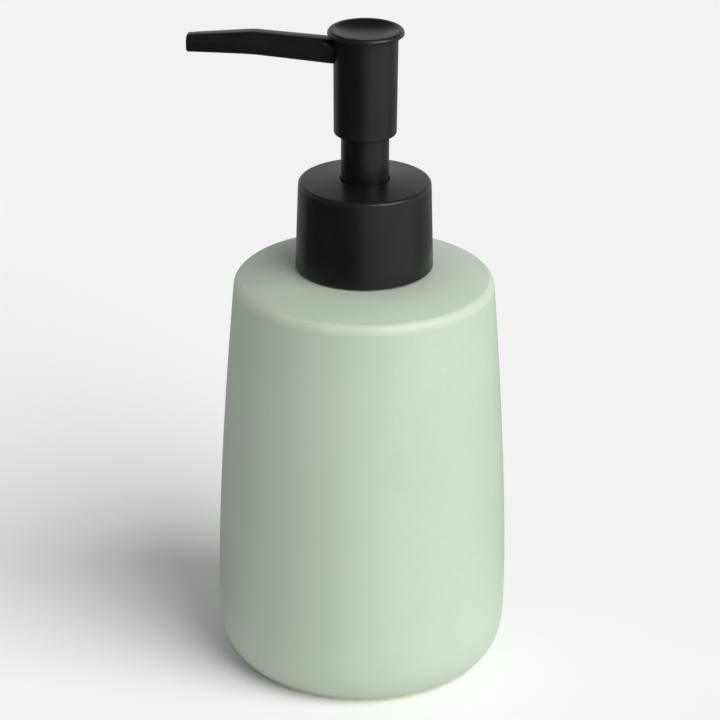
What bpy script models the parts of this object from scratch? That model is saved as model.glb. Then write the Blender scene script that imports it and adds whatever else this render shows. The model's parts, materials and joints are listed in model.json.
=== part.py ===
"""Soap pump dispenser: a round ceramic bottle with a push-fit threaded neck and a lotion pump.

Metres, +Z up. The origin is the middle of the bottle's flat foot, and every upright joint's axis is
the Z axis. The spout points along -X. Touching pieces stand GAP apart.
"""

import math

import bmesh
import bpy
from mathutils import Matrix, Vector

MM = 0.001
GAP = 0.3 * MM
OUTER_STEPS = 48
INNER_STEPS = 24
FILLET_STEPS = 3
TINY = 1e-7

# Bottle
BOTTLE_HEIGHT = 108.3 * MM
FOOT_RADIUS = 32.3 * MM
FOOT_BAND = 0.8 * MM
FOOT_FILLET = 0.25 * MM
BELLY_RADIUS = 37.5 * MM
BELLY_HEIGHT = 26.0 * MM
LOW_CURVE_POWER = 6
SHOULDER_RADIUS = 33.1 * MM
SHOULDER_DROP = 3.4 * MM
SHOULDER_FILLET = 2.8 * MM
SIDE_TAPER_POWER = 1.5
MOUTH_LAND = 5.0 * MM
BOTTLE_WALL = 4.0 * MM
BOTTLE_FLOOR = 5.0 * MM
FLOOR_FILLET = 4.0 * MM
THROAT_LENGTH = 7.3 * MM
THROAT_WALL = 3.0 * MM

# Pump head, from the sleeve outwards
SLEEVE_RADIUS = 6.05 * MM
SLEEVE_WALL = 1.2 * MM
SLEEVE_ROOM = 0.5 * MM
SHELL_WALL = 1.35 * MM
SHELL_DRAFT = 0.2 * MM
SHELL_LENGTH = 25.6 * MM
SHELL_FILLET = 0.65 * MM
CORE_SEAT = 5.8 * MM
STEM_ENGAGEMENT = 5.9 * MM
CAP_RADIUS = 9.6 * MM
CAP_THICKNESS = 1.3 * MM
CAP_DISH_DEPTH = 1.4 * MM
CAP_RIM = 1.5 * MM
CAP_ROUND = 0.95 * MM
CAP_PLUG = 1.3 * MM

# Spout
SPOUT_REACH = 44.9 * MM
ELBOW_REACH = 28.4 * MM
SPOUT_BELOW_CAP = 4.6 * MM
ELBOW_RISE = 1.15 * MM
TIP_DROP = 1.0 * MM
SPOUT_ROOT_SIZE = 6.3 * MM
SPOUT_ELBOW_SIZE = 5.9 * MM
SPOUT_TIP_SIZE = 4.5 * MM
SPOUT_BORE = 1.2 * MM
SPIGOT_RADIUS = 1.9 * MM
SPIGOT_END = 3.4 * MM
SPOUT_SIDES = 16

# Stroke and the pump's inner pieces
STROKE = 11.2 * MM
HEAD_REST_GAP = 0.7 * MM
STEM_RADIUS = 3.0 * MM
STEM_BORE = 1.7 * MM
STEM_SHOULDER = 4.3 * MM
SHOULDER_THICKNESS = 1.2 * MM
CHAPLET_WALL = 0.7 * MM
CHAPLET_FLOOR = 1.4 * MM
LOCK_WIDTH = 1.6 * MM
LOCK_THICKNESS = 0.8 * MM
CUP_SPARE = 0.8 * MM
PISTON_LENGTH = 7.8 * MM
PISTON_SLIP = 1.0 * MM
PISTON_RELIEF = 0.9 * MM
RELIEF_LENGTH = 3.6 * MM
PISTON_LIP = 0.5 * MM
PISTON_LIP_LENGTH = 1.6 * MM
PORT_RADIUS = 0.8 * MM
PORT_RISE = 2.7 * MM
TIP_FLANGE = 1.9 * MM
TIP_BOSS = 2.4 * MM
CYLINDER_BORE = 5.6 * MM
CYLINDER_WALL = 0.9 * MM
SPRING_WIRE = 0.45 * MM
SPRING_SOLID = 9.9 * MM
SPRING_TURNS = 7
SPRING_SIDES = 6
COIL_STEPS = 18
CAGE_THICKNESS = 1.2 * MM
CAGE_HOLE = 0.9 * MM
CAGE_HOLES = 4
BALL_RADIUS = 2.4 * MM
BALL_ROOM = 1.0 * MM
BALL_LIFT = 1.5 * MM
INLET_RADIUS = 1.7 * MM
INLET_LENGTH = 1.2 * MM
TUBE_RADIUS = 2.3 * MM
TUBE_BORE = 1.6 * MM
TUBE_CUT = 3.0 * MM
TUBE_ABOVE_FLOOR = 1.5 * MM
SOCKET_LENGTH = 9.8 * MM
SOCKET_WALL = 1.6 * MM

# Neck, thread and closure
HOUSING_WALL = 1.3 * MM
FLANGE_THICKNESS = 1.2 * MM
INSERT_WALL = 1.8 * MM
SEAL_WALL = 1.3 * MM
SEAL_RIB = 0.5 * MM
SEAL_RIBS = 3
SEAL_FLANGE = 0.9 * MM
INSERT_FLANGE = 1.5 * MM
NECK_WALL = 3.6 * MM
NECK_LENGTH = 9.7 * MM
GASKET_THICKNESS = 0.8 * MM
PITCH = 3.175 * MM
THREAD_DEPTH = 1.0 * MM
THREAD_RUN = 0.35 * MM
THREAD_TURNS = 1
RIDGE_WIDTH = 1.1 * MM
RIDGE_TIP = 0.6 * MM
RIDGE_BELOW_LIP = 2.6 * MM
CLOSURE_WALL = 1.7 * MM
CLOSURE_TOP = 1.2 * MM
COLLAR_WALL = 0.9 * MM
COLLAR_FLARE = 0.7 * MM
COLLAR_TOP_WALL = 2.4 * MM
COLLAR_CONE = 0.8 * MM
COLLAR_CLEAR = 0.5 * MM
COLLAR_RISE = 3.6 * MM
COLLAR_FILLET = 0.9 * MM

SIDE_TOP = BOTTLE_HEIGHT - SHOULDER_DROP

# Radii that follow from the sleeve outwards
CHAPLET_BORE = SLEEVE_RADIUS + GAP
CHAPLET_RADIUS = CHAPLET_BORE + CHAPLET_WALL
HOUSING_BORE = CHAPLET_RADIUS + GAP
HOUSING_RADIUS = HOUSING_BORE + HOUSING_WALL
INSERT_BORE = HOUSING_RADIUS + GAP
INSERT_RADIUS = INSERT_BORE + INSERT_WALL
SEAL_BORE = INSERT_RADIUS + GAP
SEAL_RADIUS = SEAL_BORE + SEAL_WALL
MOUTH_RADIUS = SEAL_RADIUS + GAP
NECK_RADIUS = INSERT_BORE + NECK_WALL
CREST_RADIUS = NECK_RADIUS + THREAD_DEPTH
CLOSURE_BORE = CREST_RADIUS + THREAD_RUN
CLOSURE_RADIUS = CLOSURE_BORE + CLOSURE_WALL
COLLAR_BORE = CLOSURE_RADIUS + GAP
COLLAR_RADIUS = COLLAR_BORE + COLLAR_WALL
NECK_FLANGE_RADIUS = COLLAR_BORE - 3 * GAP
STEM_HOLE = STEM_RADIUS + GAP
SLEEVE_BORE = SLEEVE_RADIUS - SLEEVE_WALL
SHELL_BORE = SLEEVE_RADIUS + SLEEVE_ROOM
SHELL_RADIUS = SHELL_BORE + SHELL_WALL
CORE_RADIUS = SHELL_BORE - GAP
SPRING_RADIUS = CYLINDER_BORE - GAP - 2 * SPRING_WIRE
SOCKET_BORE = TUBE_RADIUS + GAP

# Heights that follow from the bottle's top upwards
SEAL_TOP = BOTTLE_HEIGHT + GAP + SEAL_FLANGE
INSERT_SEAT = SEAL_TOP + GAP
NECK_FOOT = INSERT_SEAT + INSERT_FLANGE
NECK_LIP = NECK_FOOT + NECK_LENGTH
GASKET_FOOT = NECK_LIP + GAP
FLANGE_FOOT = GASKET_FOOT + GASKET_THICKNESS + GAP
FLANGE_TOP = FLANGE_FOOT + FLANGE_THICKNESS
LOCK_FOOT = FLANGE_TOP + GAP
LOCK_TOP = LOCK_FOOT + LOCK_THICKNESS
PLATE_FOOT = LOCK_TOP + GAP
PLATE_TOP = PLATE_FOOT + CLOSURE_TOP
COLLAR_FOOT = BOTTLE_HEIGHT + COLLAR_CLEAR
COLLAR_CEILING = PLATE_TOP + COLLAR_RISE
COLLAR_TOP = COLLAR_CEILING + COLLAR_TOP_WALL
HEAD_FOOT = COLLAR_TOP + HEAD_REST_GAP + STROKE
SHELL_TOP = HEAD_FOOT + SHELL_LENGTH
CAP_FOOT = SHELL_TOP + GAP
CAP_TOP = CAP_FOOT + CAP_THICKNESS
PLUG_FOOT = CAP_FOOT - CAP_PLUG
CORE_FOOT = HEAD_FOOT + CORE_SEAT
SPOUT_HEIGHT = CAP_FOOT - SPOUT_BELOW_CAP

# Heights that follow from the collar's top downwards
CHAPLET_TOP = COLLAR_CEILING - GAP
SLEEVE_FOOT = CHAPLET_TOP - CUP_SPARE
CUP_BOTTOM = SLEEVE_FOOT - STROKE - CUP_SPARE
CHAPLET_FOOT = CUP_BOTTOM - CHAPLET_FLOOR
HOUSING_STEP = CHAPLET_FOOT - GAP
STEM_STOP = CHAPLET_FOOT - GAP
PISTON_TOP = STEM_STOP - SHOULDER_THICKNESS - GAP - PISTON_SLIP
PISTON_FOOT = PISTON_TOP - PISTON_LENGTH
TIP_TOP = PISTON_FOOT - GAP
TIP_SEAT = TIP_TOP - TIP_FLANGE
SPRING_TOP = TIP_SEAT - GAP
SPRING_FOOT = SPRING_TOP - STROKE - SPRING_SOLID
CAGE_TOP = SPRING_FOOT - GAP
CAGE_FOOT = CAGE_TOP - CAGE_THICKNESS
CYLINDER_FLOOR = CAGE_FOOT - GAP
CHAMBER_RADIUS = BALL_RADIUS + BALL_ROOM
BALL_HEIGHT = CYLINDER_FLOOR - BALL_LIFT - BALL_RADIUS
CONE_DROP = CHAMBER_RADIUS - INLET_RADIUS
CONE_FOOT = BALL_HEIGHT - (BALL_RADIUS + GAP) * math.sqrt(2) + INLET_RADIUS
SOCKET_TOP = CONE_FOOT - INLET_LENGTH
SOCKET_FOOT = SOCKET_TOP - SOCKET_LENGTH
TUBE_TOP = SOCKET_TOP - GAP
TUBE_FOOT = BOTTLE_FLOOR + TUBE_ABOVE_FLOOR
THREAD_START = NECK_LIP - RIDGE_BELOW_LIP - PITCH * THREAD_TURNS


def clear_scene():
    for thing in list(bpy.data.objects):
        bpy.data.objects.remove(thing, do_unlink=True)


def finish(name, colour, roughness, metallic=0.0):
    """A Principled material with one colour."""
    material = bpy.data.materials.new(name)
    material.use_nodes = True
    shader = material.node_tree.nodes["Principled BSDF"]
    shader.inputs["Base Color"].default_value = (*colour, 1.0)
    shader.inputs["Roughness"].default_value = roughness
    shader.inputs["Metallic"].default_value = metallic
    material.diffuse_color = (*colour, 1.0)
    return material


def object_from(name, mesh_build, material=None):
    """An object made from a bmesh, its faces turned outwards, shaded smooth with sharp corners kept."""
    bmesh.ops.recalc_face_normals(mesh_build, faces=mesh_build.faces)
    mesh = bpy.data.meshes.new(name)
    mesh_build.to_mesh(mesh)
    mesh_build.free()
    mesh.shade_smooth()
    mesh.set_sharp_from_angle(angle=math.radians(35))
    made = bpy.data.objects.new(name, mesh)
    bpy.context.scene.collection.objects.link(made)
    if material:
        mesh.materials.append(material)
    return made


def as_tool(made):
    """Marks an object as a cutter or a join, which isn't part of the product."""
    made.hide_render = True
    made.display_type = "WIRE"
    return made


def boolean(target, tool, operation):
    step = target.modifiers.new(tool.name, "BOOLEAN")
    step.object = as_tool(tool)
    step.operation = operation
    step.solver = "EXACT"


def rounded(corners):
    """A closed outline through corners (radius, height, fillet), with each fillet drawn as an arc."""
    outline = []
    for index, (radius, height, fillet) in enumerate(corners):
        corner = Vector((radius, height))
        if not fillet:
            outline.append(corner)
            continue
        before = (Vector(corners[index - 1][:2]) - corner).normalized()
        after = (Vector(corners[(index + 1) % len(corners)][:2]) - corner).normalized()
        half = before.angle(after) / 2
        centre = corner + (before + after).normalized() * fillet / math.sin(half)
        spoke = corner + before * fillet / math.tan(half) - centre
        turn = math.pi - 2 * half
        if before.x * after.y - before.y * after.x > 0:
            turn = -turn
        for step in range(FILLET_STEPS + 1):
            outline.append(centre + Matrix.Rotation(turn * step / FILLET_STEPS, 2) @ spoke)
    return outline


def sharp(*corners):
    """A closed outline with no fillets."""
    return [Vector(corner) for corner in corners]


def ring_of(mesh_build, points):
    return [mesh_build.verts.new(point) for point in points]


def bridge(mesh_build, first, second):
    """Faces between two closed rings; a ring of one point is a pole."""
    count = max(len(first), len(second))
    for index in range(count):
        corners = []
        for ring, place in ((first, index), (first, index + 1), (second, index + 1), (second, index)):
            corner = ring[place % len(ring)]
            if corner not in corners:
                corners.append(corner)
        if len(corners) > 2:
            mesh_build.faces.new(corners)


def turned(name, outline, material=None, steps=INNER_STEPS):
    """A solid of revolution about Z from a closed outline of (radius, height)."""
    mesh_build = bmesh.new()
    rings = []
    for radius, height in outline:
        if radius < TINY:
            rings.append(ring_of(mesh_build, [(0, 0, height)]))
            continue
        angles = [math.tau * step / steps for step in range(steps)]
        rings.append(
            ring_of(mesh_build, [(radius * math.cos(a), radius * math.sin(a), height) for a in angles])
        )
    for first, second in zip(rings, rings[1:] + rings[:1]):
        bridge(mesh_build, first, second)
    return object_from(name, mesh_build, material)


def tube(name, bore, radius, foot, top, material=None, steps=INNER_STEPS):
    outline = sharp((bore, foot), (radius, foot), (radius, top), (bore, top))
    return turned(name, outline, material, steps)


def rod(name, radius, start, end, steps=INNER_STEPS // 2):
    """A plain round bar between two points, used as a cutter or a join."""
    mesh_build = bmesh.new()
    along = Vector(end) - Vector(start)
    place = Matrix.Translation(start) @ along.to_track_quat("Z", "Y").to_matrix().to_4x4()
    circle = [(radius * math.cos(a), radius * math.sin(a)) for a in
              (math.tau * step / steps for step in range(steps))]
    rings = [
        ring_of(mesh_build, [place @ Vector((x, y, height)) for x, y in circle])
        for height in (0, along.length)
    ]
    bridge(mesh_build, *rings)
    for ring in rings:
        mesh_build.faces.new(ring)
    return object_from(name, mesh_build)


def swept(name, path, sections, material=None):
    """A closed solid through rings of points, one ring of section offsets for each place on the path."""
    mesh_build = bmesh.new()
    rings = [
        ring_of(mesh_build, [place + offset for offset in section])
        for place, section in zip(path, sections)
    ]
    for first, second in zip(rings, rings[1:]):
        bridge(mesh_build, first, second)
    mesh_build.faces.new(rings[0])
    mesh_build.faces.new(rings[-1])
    return object_from(name, mesh_build, material)


def thread_ridge(name, base_radius, tip_radius, start, turns=THREAD_TURNS):
    """A trapezoid ridge on a right-hand helix, its wide base inside the wall that it joins."""
    steps = round(INNER_STEPS * turns)
    path, sections = [], []
    for step in range(steps + 1):
        angle = math.tau * turns * step / steps
        outwards = Vector((math.cos(angle), math.sin(angle), 0))
        path.append(Vector((0, 0, start + PITCH * angle / math.tau)))
        sections.append([
            outwards * radius + Vector((0, 0, height))
            for radius, height in (
                (base_radius, -RIDGE_WIDTH / 2), (tip_radius, -RIDGE_TIP / 2),
                (tip_radius, RIDGE_TIP / 2), (base_radius, RIDGE_WIDTH / 2),
            )
        ])
    return swept(name, path, sections)


def outside_radius(height):
    """The bottle's outside: a quick curve out from the foot band to the belly, then a slow taper."""
    if height < BELLY_HEIGHT:
        share = (BELLY_HEIGHT - height) / (BELLY_HEIGHT - FOOT_BAND)
        return BELLY_RADIUS - (BELLY_RADIUS - FOOT_RADIUS) * share ** LOW_CURVE_POWER
    share = (height - BELLY_HEIGHT) / (SIDE_TOP - BELLY_HEIGHT)
    return BELLY_RADIUS - (BELLY_RADIUS - SHOULDER_RADIUS) * share ** SIDE_TAPER_POWER


def side_corners(start, end, steps, wall=0.0):
    """Corners up or down the side, on the outside or a wall's thickness in."""
    heights = [start + (end - start) * step / steps for step in range(steps)]
    return [(outside_radius(height) - wall, height, 0) for height in heights]


def bottle_outside():
    """Foot band, side, shoulder and the domed top up to the flat land round the mouth."""
    corners = [(FOOT_RADIUS, 0, FOOT_FILLET)]
    corners += side_corners(FOOT_BAND, BELLY_HEIGHT, 8)
    corners += side_corners(BELLY_HEIGHT, SIDE_TOP, 8)
    corners.append((SHOULDER_RADIUS, SIDE_TOP, SHOULDER_FILLET))
    land = MOUTH_RADIUS + MOUTH_LAND
    dome_steps = 4
    for step in range(1, dome_steps + 1):
        share = 1 - step / dome_steps
        radius = land + (SHOULDER_RADIUS - land) * share
        corners.append((radius, BOTTLE_HEIGHT - SHOULDER_DROP * share ** 2, 0))
    return corners


def bottle_inside():
    """The hollow from the mouth down to the middle of the floor, then the middle of the foot."""
    roof = SIDE_TOP - BOTTLE_WALL
    throat_foot = BOTTLE_HEIGHT - THROAT_LENGTH
    throat_outside = MOUTH_RADIUS + THROAT_WALL
    corners = [
        (MOUTH_RADIUS, BOTTLE_HEIGHT, 0),
        (MOUTH_RADIUS, throat_foot, 0),
        (throat_outside, throat_foot, 0),
        (throat_outside + THROAT_WALL, BOTTLE_HEIGHT - BOTTLE_WALL, 0),
        (SHOULDER_RADIUS - BOTTLE_WALL, roof, SHOULDER_FILLET),
    ]
    fillet_top = BOTTLE_FLOOR + 2 * FLOOR_FILLET
    corners += side_corners(roof, fillet_top, 7, BOTTLE_WALL)[1:]
    corners.append((outside_radius(fillet_top) - BOTTLE_WALL, BOTTLE_FLOOR, FLOOR_FILLET))
    corners += [(0, BOTTLE_FLOOR, 0), (0, 0, 0)]
    return corners


def make_bottle(material):
    return turned("bottle", rounded(bottle_outside() + bottle_inside()), material, OUTER_STEPS)


def make_neck_seal(material):
    """Soft sleeve with ribs that grip the ceramic mouth and a flange that rests on it."""
    core = SEAL_RADIUS - SEAL_RIB
    foot = BOTTLE_HEIGHT - THROAT_LENGTH + GAP
    pitch = (BOTTLE_HEIGHT - foot) / (SEAL_RIBS + 1)
    corners = [(SEAL_BORE, foot), (core, foot)]
    for rib in range(1, SEAL_RIBS + 1):
        middle = foot + rib * pitch
        corners += [(core, middle - SEAL_RIB), (SEAL_RADIUS, middle), (core, middle + SEAL_RIB)]
    corners += [
        (core, BOTTLE_HEIGHT + GAP), (NECK_FLANGE_RADIUS, BOTTLE_HEIGHT + GAP),
        (NECK_FLANGE_RADIUS, SEAL_TOP), (SEAL_BORE, SEAL_TOP),
    ]
    return turned("neck_seal", sharp(*corners), material)


def make_neck_insert(material):
    """Threaded neck with a flange over the seal and a stub inside it."""
    foot = BOTTLE_HEIGHT - THROAT_LENGTH
    insert = turned("neck_insert", sharp(
        (INSERT_BORE, foot), (INSERT_RADIUS, foot), (INSERT_RADIUS, INSERT_SEAT),
        (NECK_FLANGE_RADIUS, INSERT_SEAT), (NECK_FLANGE_RADIUS, NECK_FOOT), (NECK_RADIUS, NECK_FOOT),
        (NECK_RADIUS, NECK_LIP), (INSERT_BORE, NECK_LIP),
    ), material, OUTER_STEPS)
    boolean(insert, thread_ridge("neck_ridge", NECK_RADIUS - GAP, CREST_RADIUS, THREAD_START), "UNION")
    return insert


def make_inner_closure(material):
    """Threaded closure whose top plate holds the pump's flange down on the gasket."""
    foot = NECK_FOOT + GAP
    closure = turned("inner_closure", sharp(
        (CLOSURE_BORE, foot), (CLOSURE_RADIUS, foot), (CLOSURE_RADIUS, PLATE_TOP),
        (CHAPLET_RADIUS + GAP, PLATE_TOP), (CHAPLET_RADIUS + GAP, PLATE_FOOT), (CLOSURE_BORE, PLATE_FOOT),
    ), material, OUTER_STEPS)
    ridge = thread_ridge(
        "closure_ridge", CLOSURE_BORE + GAP, NECK_RADIUS + THREAD_RUN, THREAD_START - PITCH / 2
    )
    boolean(closure, ridge, "UNION")
    return closure


def make_collar(material):
    """Outer cover of the closure, a little wider at the bottom, its top a very low cone."""
    foot_radius = COLLAR_RADIUS + COLLAR_FLARE
    return turned("collar", rounded([
        (COLLAR_BORE, COLLAR_FOOT, 0), (foot_radius, COLLAR_FOOT, COLLAR_FILLET / 3),
        (COLLAR_RADIUS, COLLAR_TOP - COLLAR_CONE, COLLAR_FILLET),
        (SLEEVE_RADIUS + GAP, COLLAR_TOP, COLLAR_FILLET / 3),
        (SLEEVE_RADIUS + GAP, COLLAR_CEILING, 0), (COLLAR_BORE, COLLAR_CEILING, 0),
    ]), material, OUTER_STEPS)


def make_neck_gasket(material):
    top = GASKET_FOOT + GASKET_THICKNESS
    return tube("neck_gasket", INSERT_BORE, NECK_RADIUS, GASKET_FOOT, top, material)


def make_pump_housing(material):
    """Flange, wide cup for the chaplet, cylinder, ball seat and dip tube socket, in one moulding."""
    cylinder_radius = CYLINDER_BORE + CYLINDER_WALL
    socket_radius = SOCKET_BORE + SOCKET_WALL
    shelf = HOUSING_STEP - CHAPLET_FLOOR
    chamber_foot = CONE_FOOT + CONE_DROP
    return turned("pump_housing", sharp(
        (INLET_RADIUS, SOCKET_TOP), (SOCKET_BORE, SOCKET_TOP), (SOCKET_BORE, SOCKET_FOOT),
        (socket_radius, SOCKET_FOOT), (socket_radius, CONE_FOOT),
        (CHAMBER_RADIUS + CYLINDER_WALL, chamber_foot),
        (CHAMBER_RADIUS + CYLINDER_WALL, CYLINDER_FLOOR - BALL_LIFT), (cylinder_radius, CYLINDER_FLOOR),
        (cylinder_radius, shelf), (HOUSING_RADIUS, HOUSING_STEP), (HOUSING_RADIUS, FLANGE_FOOT),
        (NECK_RADIUS, FLANGE_FOOT), (NECK_RADIUS, FLANGE_TOP), (HOUSING_BORE, FLANGE_TOP),
        (HOUSING_BORE, HOUSING_STEP), (CYLINDER_BORE, HOUSING_STEP), (CYLINDER_BORE, CYLINDER_FLOOR),
        (CHAMBER_RADIUS, CYLINDER_FLOOR), (CHAMBER_RADIUS, chamber_foot), (INLET_RADIUS, CONE_FOOT),
    ), material)


def make_chaplet(material):
    """Guide cup: its floor guides the stem, its wall guides the sleeve, its lock ring holds it down."""
    lock_radius = CHAPLET_RADIUS + LOCK_WIDTH
    return turned("chaplet", sharp(
        (STEM_HOLE, CHAPLET_FOOT), (CHAPLET_RADIUS, CHAPLET_FOOT), (CHAPLET_RADIUS, LOCK_FOOT),
        (lock_radius, LOCK_FOOT), (lock_radius, LOCK_TOP), (CHAPLET_RADIUS, LOCK_TOP),
        (CHAPLET_RADIUS, CHAPLET_TOP), (CHAPLET_BORE, CHAPLET_TOP), (CHAPLET_BORE, CUP_BOTTOM),
        (STEM_HOLE, CUP_BOTTOM),
    ), material)


def make_ball_cage(material):
    """Disc with flow holes that stops the ball and carries the spring."""
    cage = turned("ball_cage", sharp(
        (0, CAGE_FOOT), (CYLINDER_BORE - GAP, CAGE_FOOT), (CYLINDER_BORE - GAP, CAGE_TOP), (0, CAGE_TOP),
    ), material)
    for hole in range(CAGE_HOLES):
        turn = Matrix.Rotation(math.tau * (hole + 0.5) / CAGE_HOLES, 3, "Z")
        middle = turn @ Vector((BALL_RADIUS, 0, 0))
        low, high = (middle + Vector((0, 0, z)) for z in (CAGE_FOOT - 1 * MM, CAGE_TOP + 1 * MM))
        boolean(cage, rod(f"cage_hole_{hole}", CAGE_HOLE, low, high), "DIFFERENCE")
    return cage


def make_inlet_ball(material):
    rows = 8
    arc = [math.pi * row / rows - math.pi / 2 for row in range(rows + 1)]
    outline = [
        Vector((max(0, BALL_RADIUS * math.cos(a)), BALL_HEIGHT + BALL_RADIUS * math.sin(a))) for a in arc
    ]
    return turned("inlet_ball", outline, material, 16)


def make_dip_tube(material):
    """Suction tube, cut at a slant so that it can't seal itself on the floor."""
    dip_tube = tube("dip_tube", TUBE_BORE, TUBE_RADIUS, TUBE_FOOT, TUBE_TOP, material)
    for corner in dip_tube.data.vertices:
        if corner.co.z < TUBE_FOOT + TINY:
            corner.co.z += TUBE_CUT * (corner.co.x + TUBE_RADIUS) / (2 * TUBE_RADIUS)
    return dip_tube


def make_return_spring(material):
    """Compression coil with a closed turn at each end."""
    dead_pitch = 2 * SPRING_WIRE + GAP / 3
    low, high = SPRING_FOOT + SPRING_WIRE, SPRING_TOP - SPRING_WIRE
    live_pitch = (high - low - 2 * dead_pitch) / (SPRING_TURNS - 2)
    path, sections = [], []
    for step in range(SPRING_TURNS * COIL_STEPS + 1):
        turn = step / COIL_STEPS
        live = min(max(turn - 1, 0), SPRING_TURNS - 2)
        height = low + dead_pitch * (turn - live) + live_pitch * live
        angle = math.tau * turn
        outwards = Vector((math.cos(angle), math.sin(angle), 0))
        path.append(outwards * SPRING_RADIUS + Vector((0, 0, height)))
        sections.append([
            outwards * SPRING_WIRE * math.cos(a) + Vector((0, 0, SPRING_WIRE * math.sin(a)))
            for a in (math.tau * side / SPRING_SIDES for side in range(SPRING_SIDES))
        ])
    return swept("return_spring", path, sections, material)


def make_stem(material):
    """Hollow plunger rod with a stop shoulder and two cross ports above the piston's foot."""
    foot = TIP_TOP + GAP
    top = CORE_FOOT + STEM_ENGAGEMENT
    shoulder_foot = STEM_STOP - SHOULDER_THICKNESS
    stem = turned("stem", sharp(
        (STEM_BORE, foot), (STEM_RADIUS, foot), (STEM_RADIUS, shoulder_foot),
        (STEM_SHOULDER, shoulder_foot), (STEM_SHOULDER, STEM_STOP), (STEM_RADIUS, STEM_STOP),
        (STEM_RADIUS, top), (STEM_BORE, top),
    ), material)
    height = PISTON_FOOT + PORT_RISE
    ends = [Vector((0, side * 2 * STEM_RADIUS, height)) for side in (-1, 1)]
    boolean(stem, rod("stem_ports", PORT_RADIUS, *ends), "DIFFERENCE")
    return stem


def make_piston(material):
    """Seal with a lip at each end, relieved inside at the foot so that soap reaches the ports."""
    lip = CYLINDER_BORE - GAP
    waist = lip - PISTON_LIP
    relief_top = PISTON_FOOT + RELIEF_LENGTH
    return turned("piston", sharp(
        (STEM_HOLE + PISTON_RELIEF, PISTON_FOOT), (lip, PISTON_FOOT),
        (waist, PISTON_FOOT + PISTON_LIP_LENGTH), (waist, PISTON_TOP - PISTON_LIP_LENGTH),
        (lip, PISTON_TOP), (STEM_HOLE, PISTON_TOP),
        (STEM_HOLE, relief_top), (STEM_HOLE + PISTON_RELIEF, relief_top - PISTON_RELIEF),
    ), material)


def make_piston_tip(material):
    """Plug in the stem's end with the piston's valve seat above and the spring's seat below."""
    spigot = STEM_BORE - GAP
    boss = SPRING_RADIUS - 2 * SPRING_WIRE
    return turned("piston_tip", sharp(
        (0, TIP_SEAT - TIP_BOSS), (boss, TIP_SEAT - TIP_BOSS), (boss, TIP_SEAT),
        (CYLINDER_BORE - 2 * GAP, TIP_SEAT), (CYLINDER_BORE - 2 * GAP, TIP_TOP),
        (spigot, TIP_TOP), (spigot, TIP_TOP + TIP_FLANGE), (0, TIP_TOP + TIP_FLANGE),
    ), material)


def make_stem_sleeve(material):
    top = CORE_FOOT - GAP
    return tube("stem_sleeve", SLEEVE_BORE, SLEEVE_RADIUS, SLEEVE_FOOT, top, material, OUTER_STEPS)


def make_head_core(material):
    """Inner body of the head: stem socket, upright channel and the spout's socket."""
    spigot_foot = HEAD_FOOT + GAP
    top = PLUG_FOOT - GAP
    socket_top = CORE_FOOT + STEM_ENGAGEMENT + GAP
    core = turned("head_core", sharp(
        (STEM_HOLE, spigot_foot), (SLEEVE_BORE - GAP, spigot_foot), (SLEEVE_BORE - GAP, CORE_FOOT),
        (CORE_RADIUS, CORE_FOOT), (CORE_RADIUS, top), (0, top), (0, SPOUT_HEIGHT),
        (STEM_BORE, SPOUT_HEIGHT), (STEM_BORE, socket_top), (STEM_HOLE, socket_top),
    ), material)
    middle = Vector((0, 0, SPOUT_HEIGHT))
    outside = Vector((-2 * CORE_RADIUS, 0, SPOUT_HEIGHT))
    socket_end = Vector((-SPIGOT_END + GAP, 0, SPOUT_HEIGHT))
    boolean(core, rod("spout_socket", SPIGOT_RADIUS + GAP, socket_end, outside), "DIFFERENCE")
    boolean(core, rod("spout_channel", SPOUT_BORE, middle, outside), "DIFFERENCE")
    return core


def make_head_shell(material):
    """Outer cylinder of the head, a little wider at the top, with a hole for the spout."""
    shell = turned("head_shell", rounded([
        (SHELL_BORE, HEAD_FOOT, 0), (SHELL_RADIUS, HEAD_FOOT, SHELL_FILLET),
        (SHELL_RADIUS + SHELL_DRAFT, SHELL_TOP, 0), (SHELL_BORE, SHELL_TOP, 0),
    ]), material, OUTER_STEPS)
    inside = Vector((-SHELL_BORE / 2, 0, SPOUT_HEIGHT))
    outside = Vector((-2 * SHELL_RADIUS, 0, SPOUT_HEIGHT))
    boolean(shell, rod("spout_hole", SPIGOT_RADIUS + GAP, inside, outside), "DIFFERENCE")
    return shell


def make_press_cap(material):
    """Thin dished thumb cap that overhangs the shell, with a plug that snaps into the shell's bore."""
    dish_radius = CAP_RADIUS - CAP_RIM
    dish_steps = 5
    corners = [
        (0, PLUG_FOOT, 0), (CORE_RADIUS, PLUG_FOOT, 0), (CORE_RADIUS, CAP_FOOT, 0),
        (CAP_RADIUS, CAP_FOOT, 0), (CAP_RADIUS, CAP_TOP, CAP_ROUND),
    ]
    for step in range(dish_steps + 1):
        share = 1 - step / dish_steps
        corners.append((dish_radius * share, CAP_TOP - CAP_DISH_DEPTH * (1 - share ** 2), 0))
    return turned("press_cap", rounded(corners), material, OUTER_STEPS)


def rounded_square(width, height):
    """Offsets round a spout section, across Y and up Z, between a circle and a square."""
    offsets = []
    for side in range(SPOUT_SIDES):
        angle = math.tau * side / SPOUT_SIDES
        across, up = math.cos(angle), math.sin(angle)
        scale = (abs(across) ** 3 + abs(up) ** 3) ** (-1 / 3)
        offsets.append(Vector((0, across * scale * width / 2, up * scale * height / 2)))
    return offsets


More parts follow.
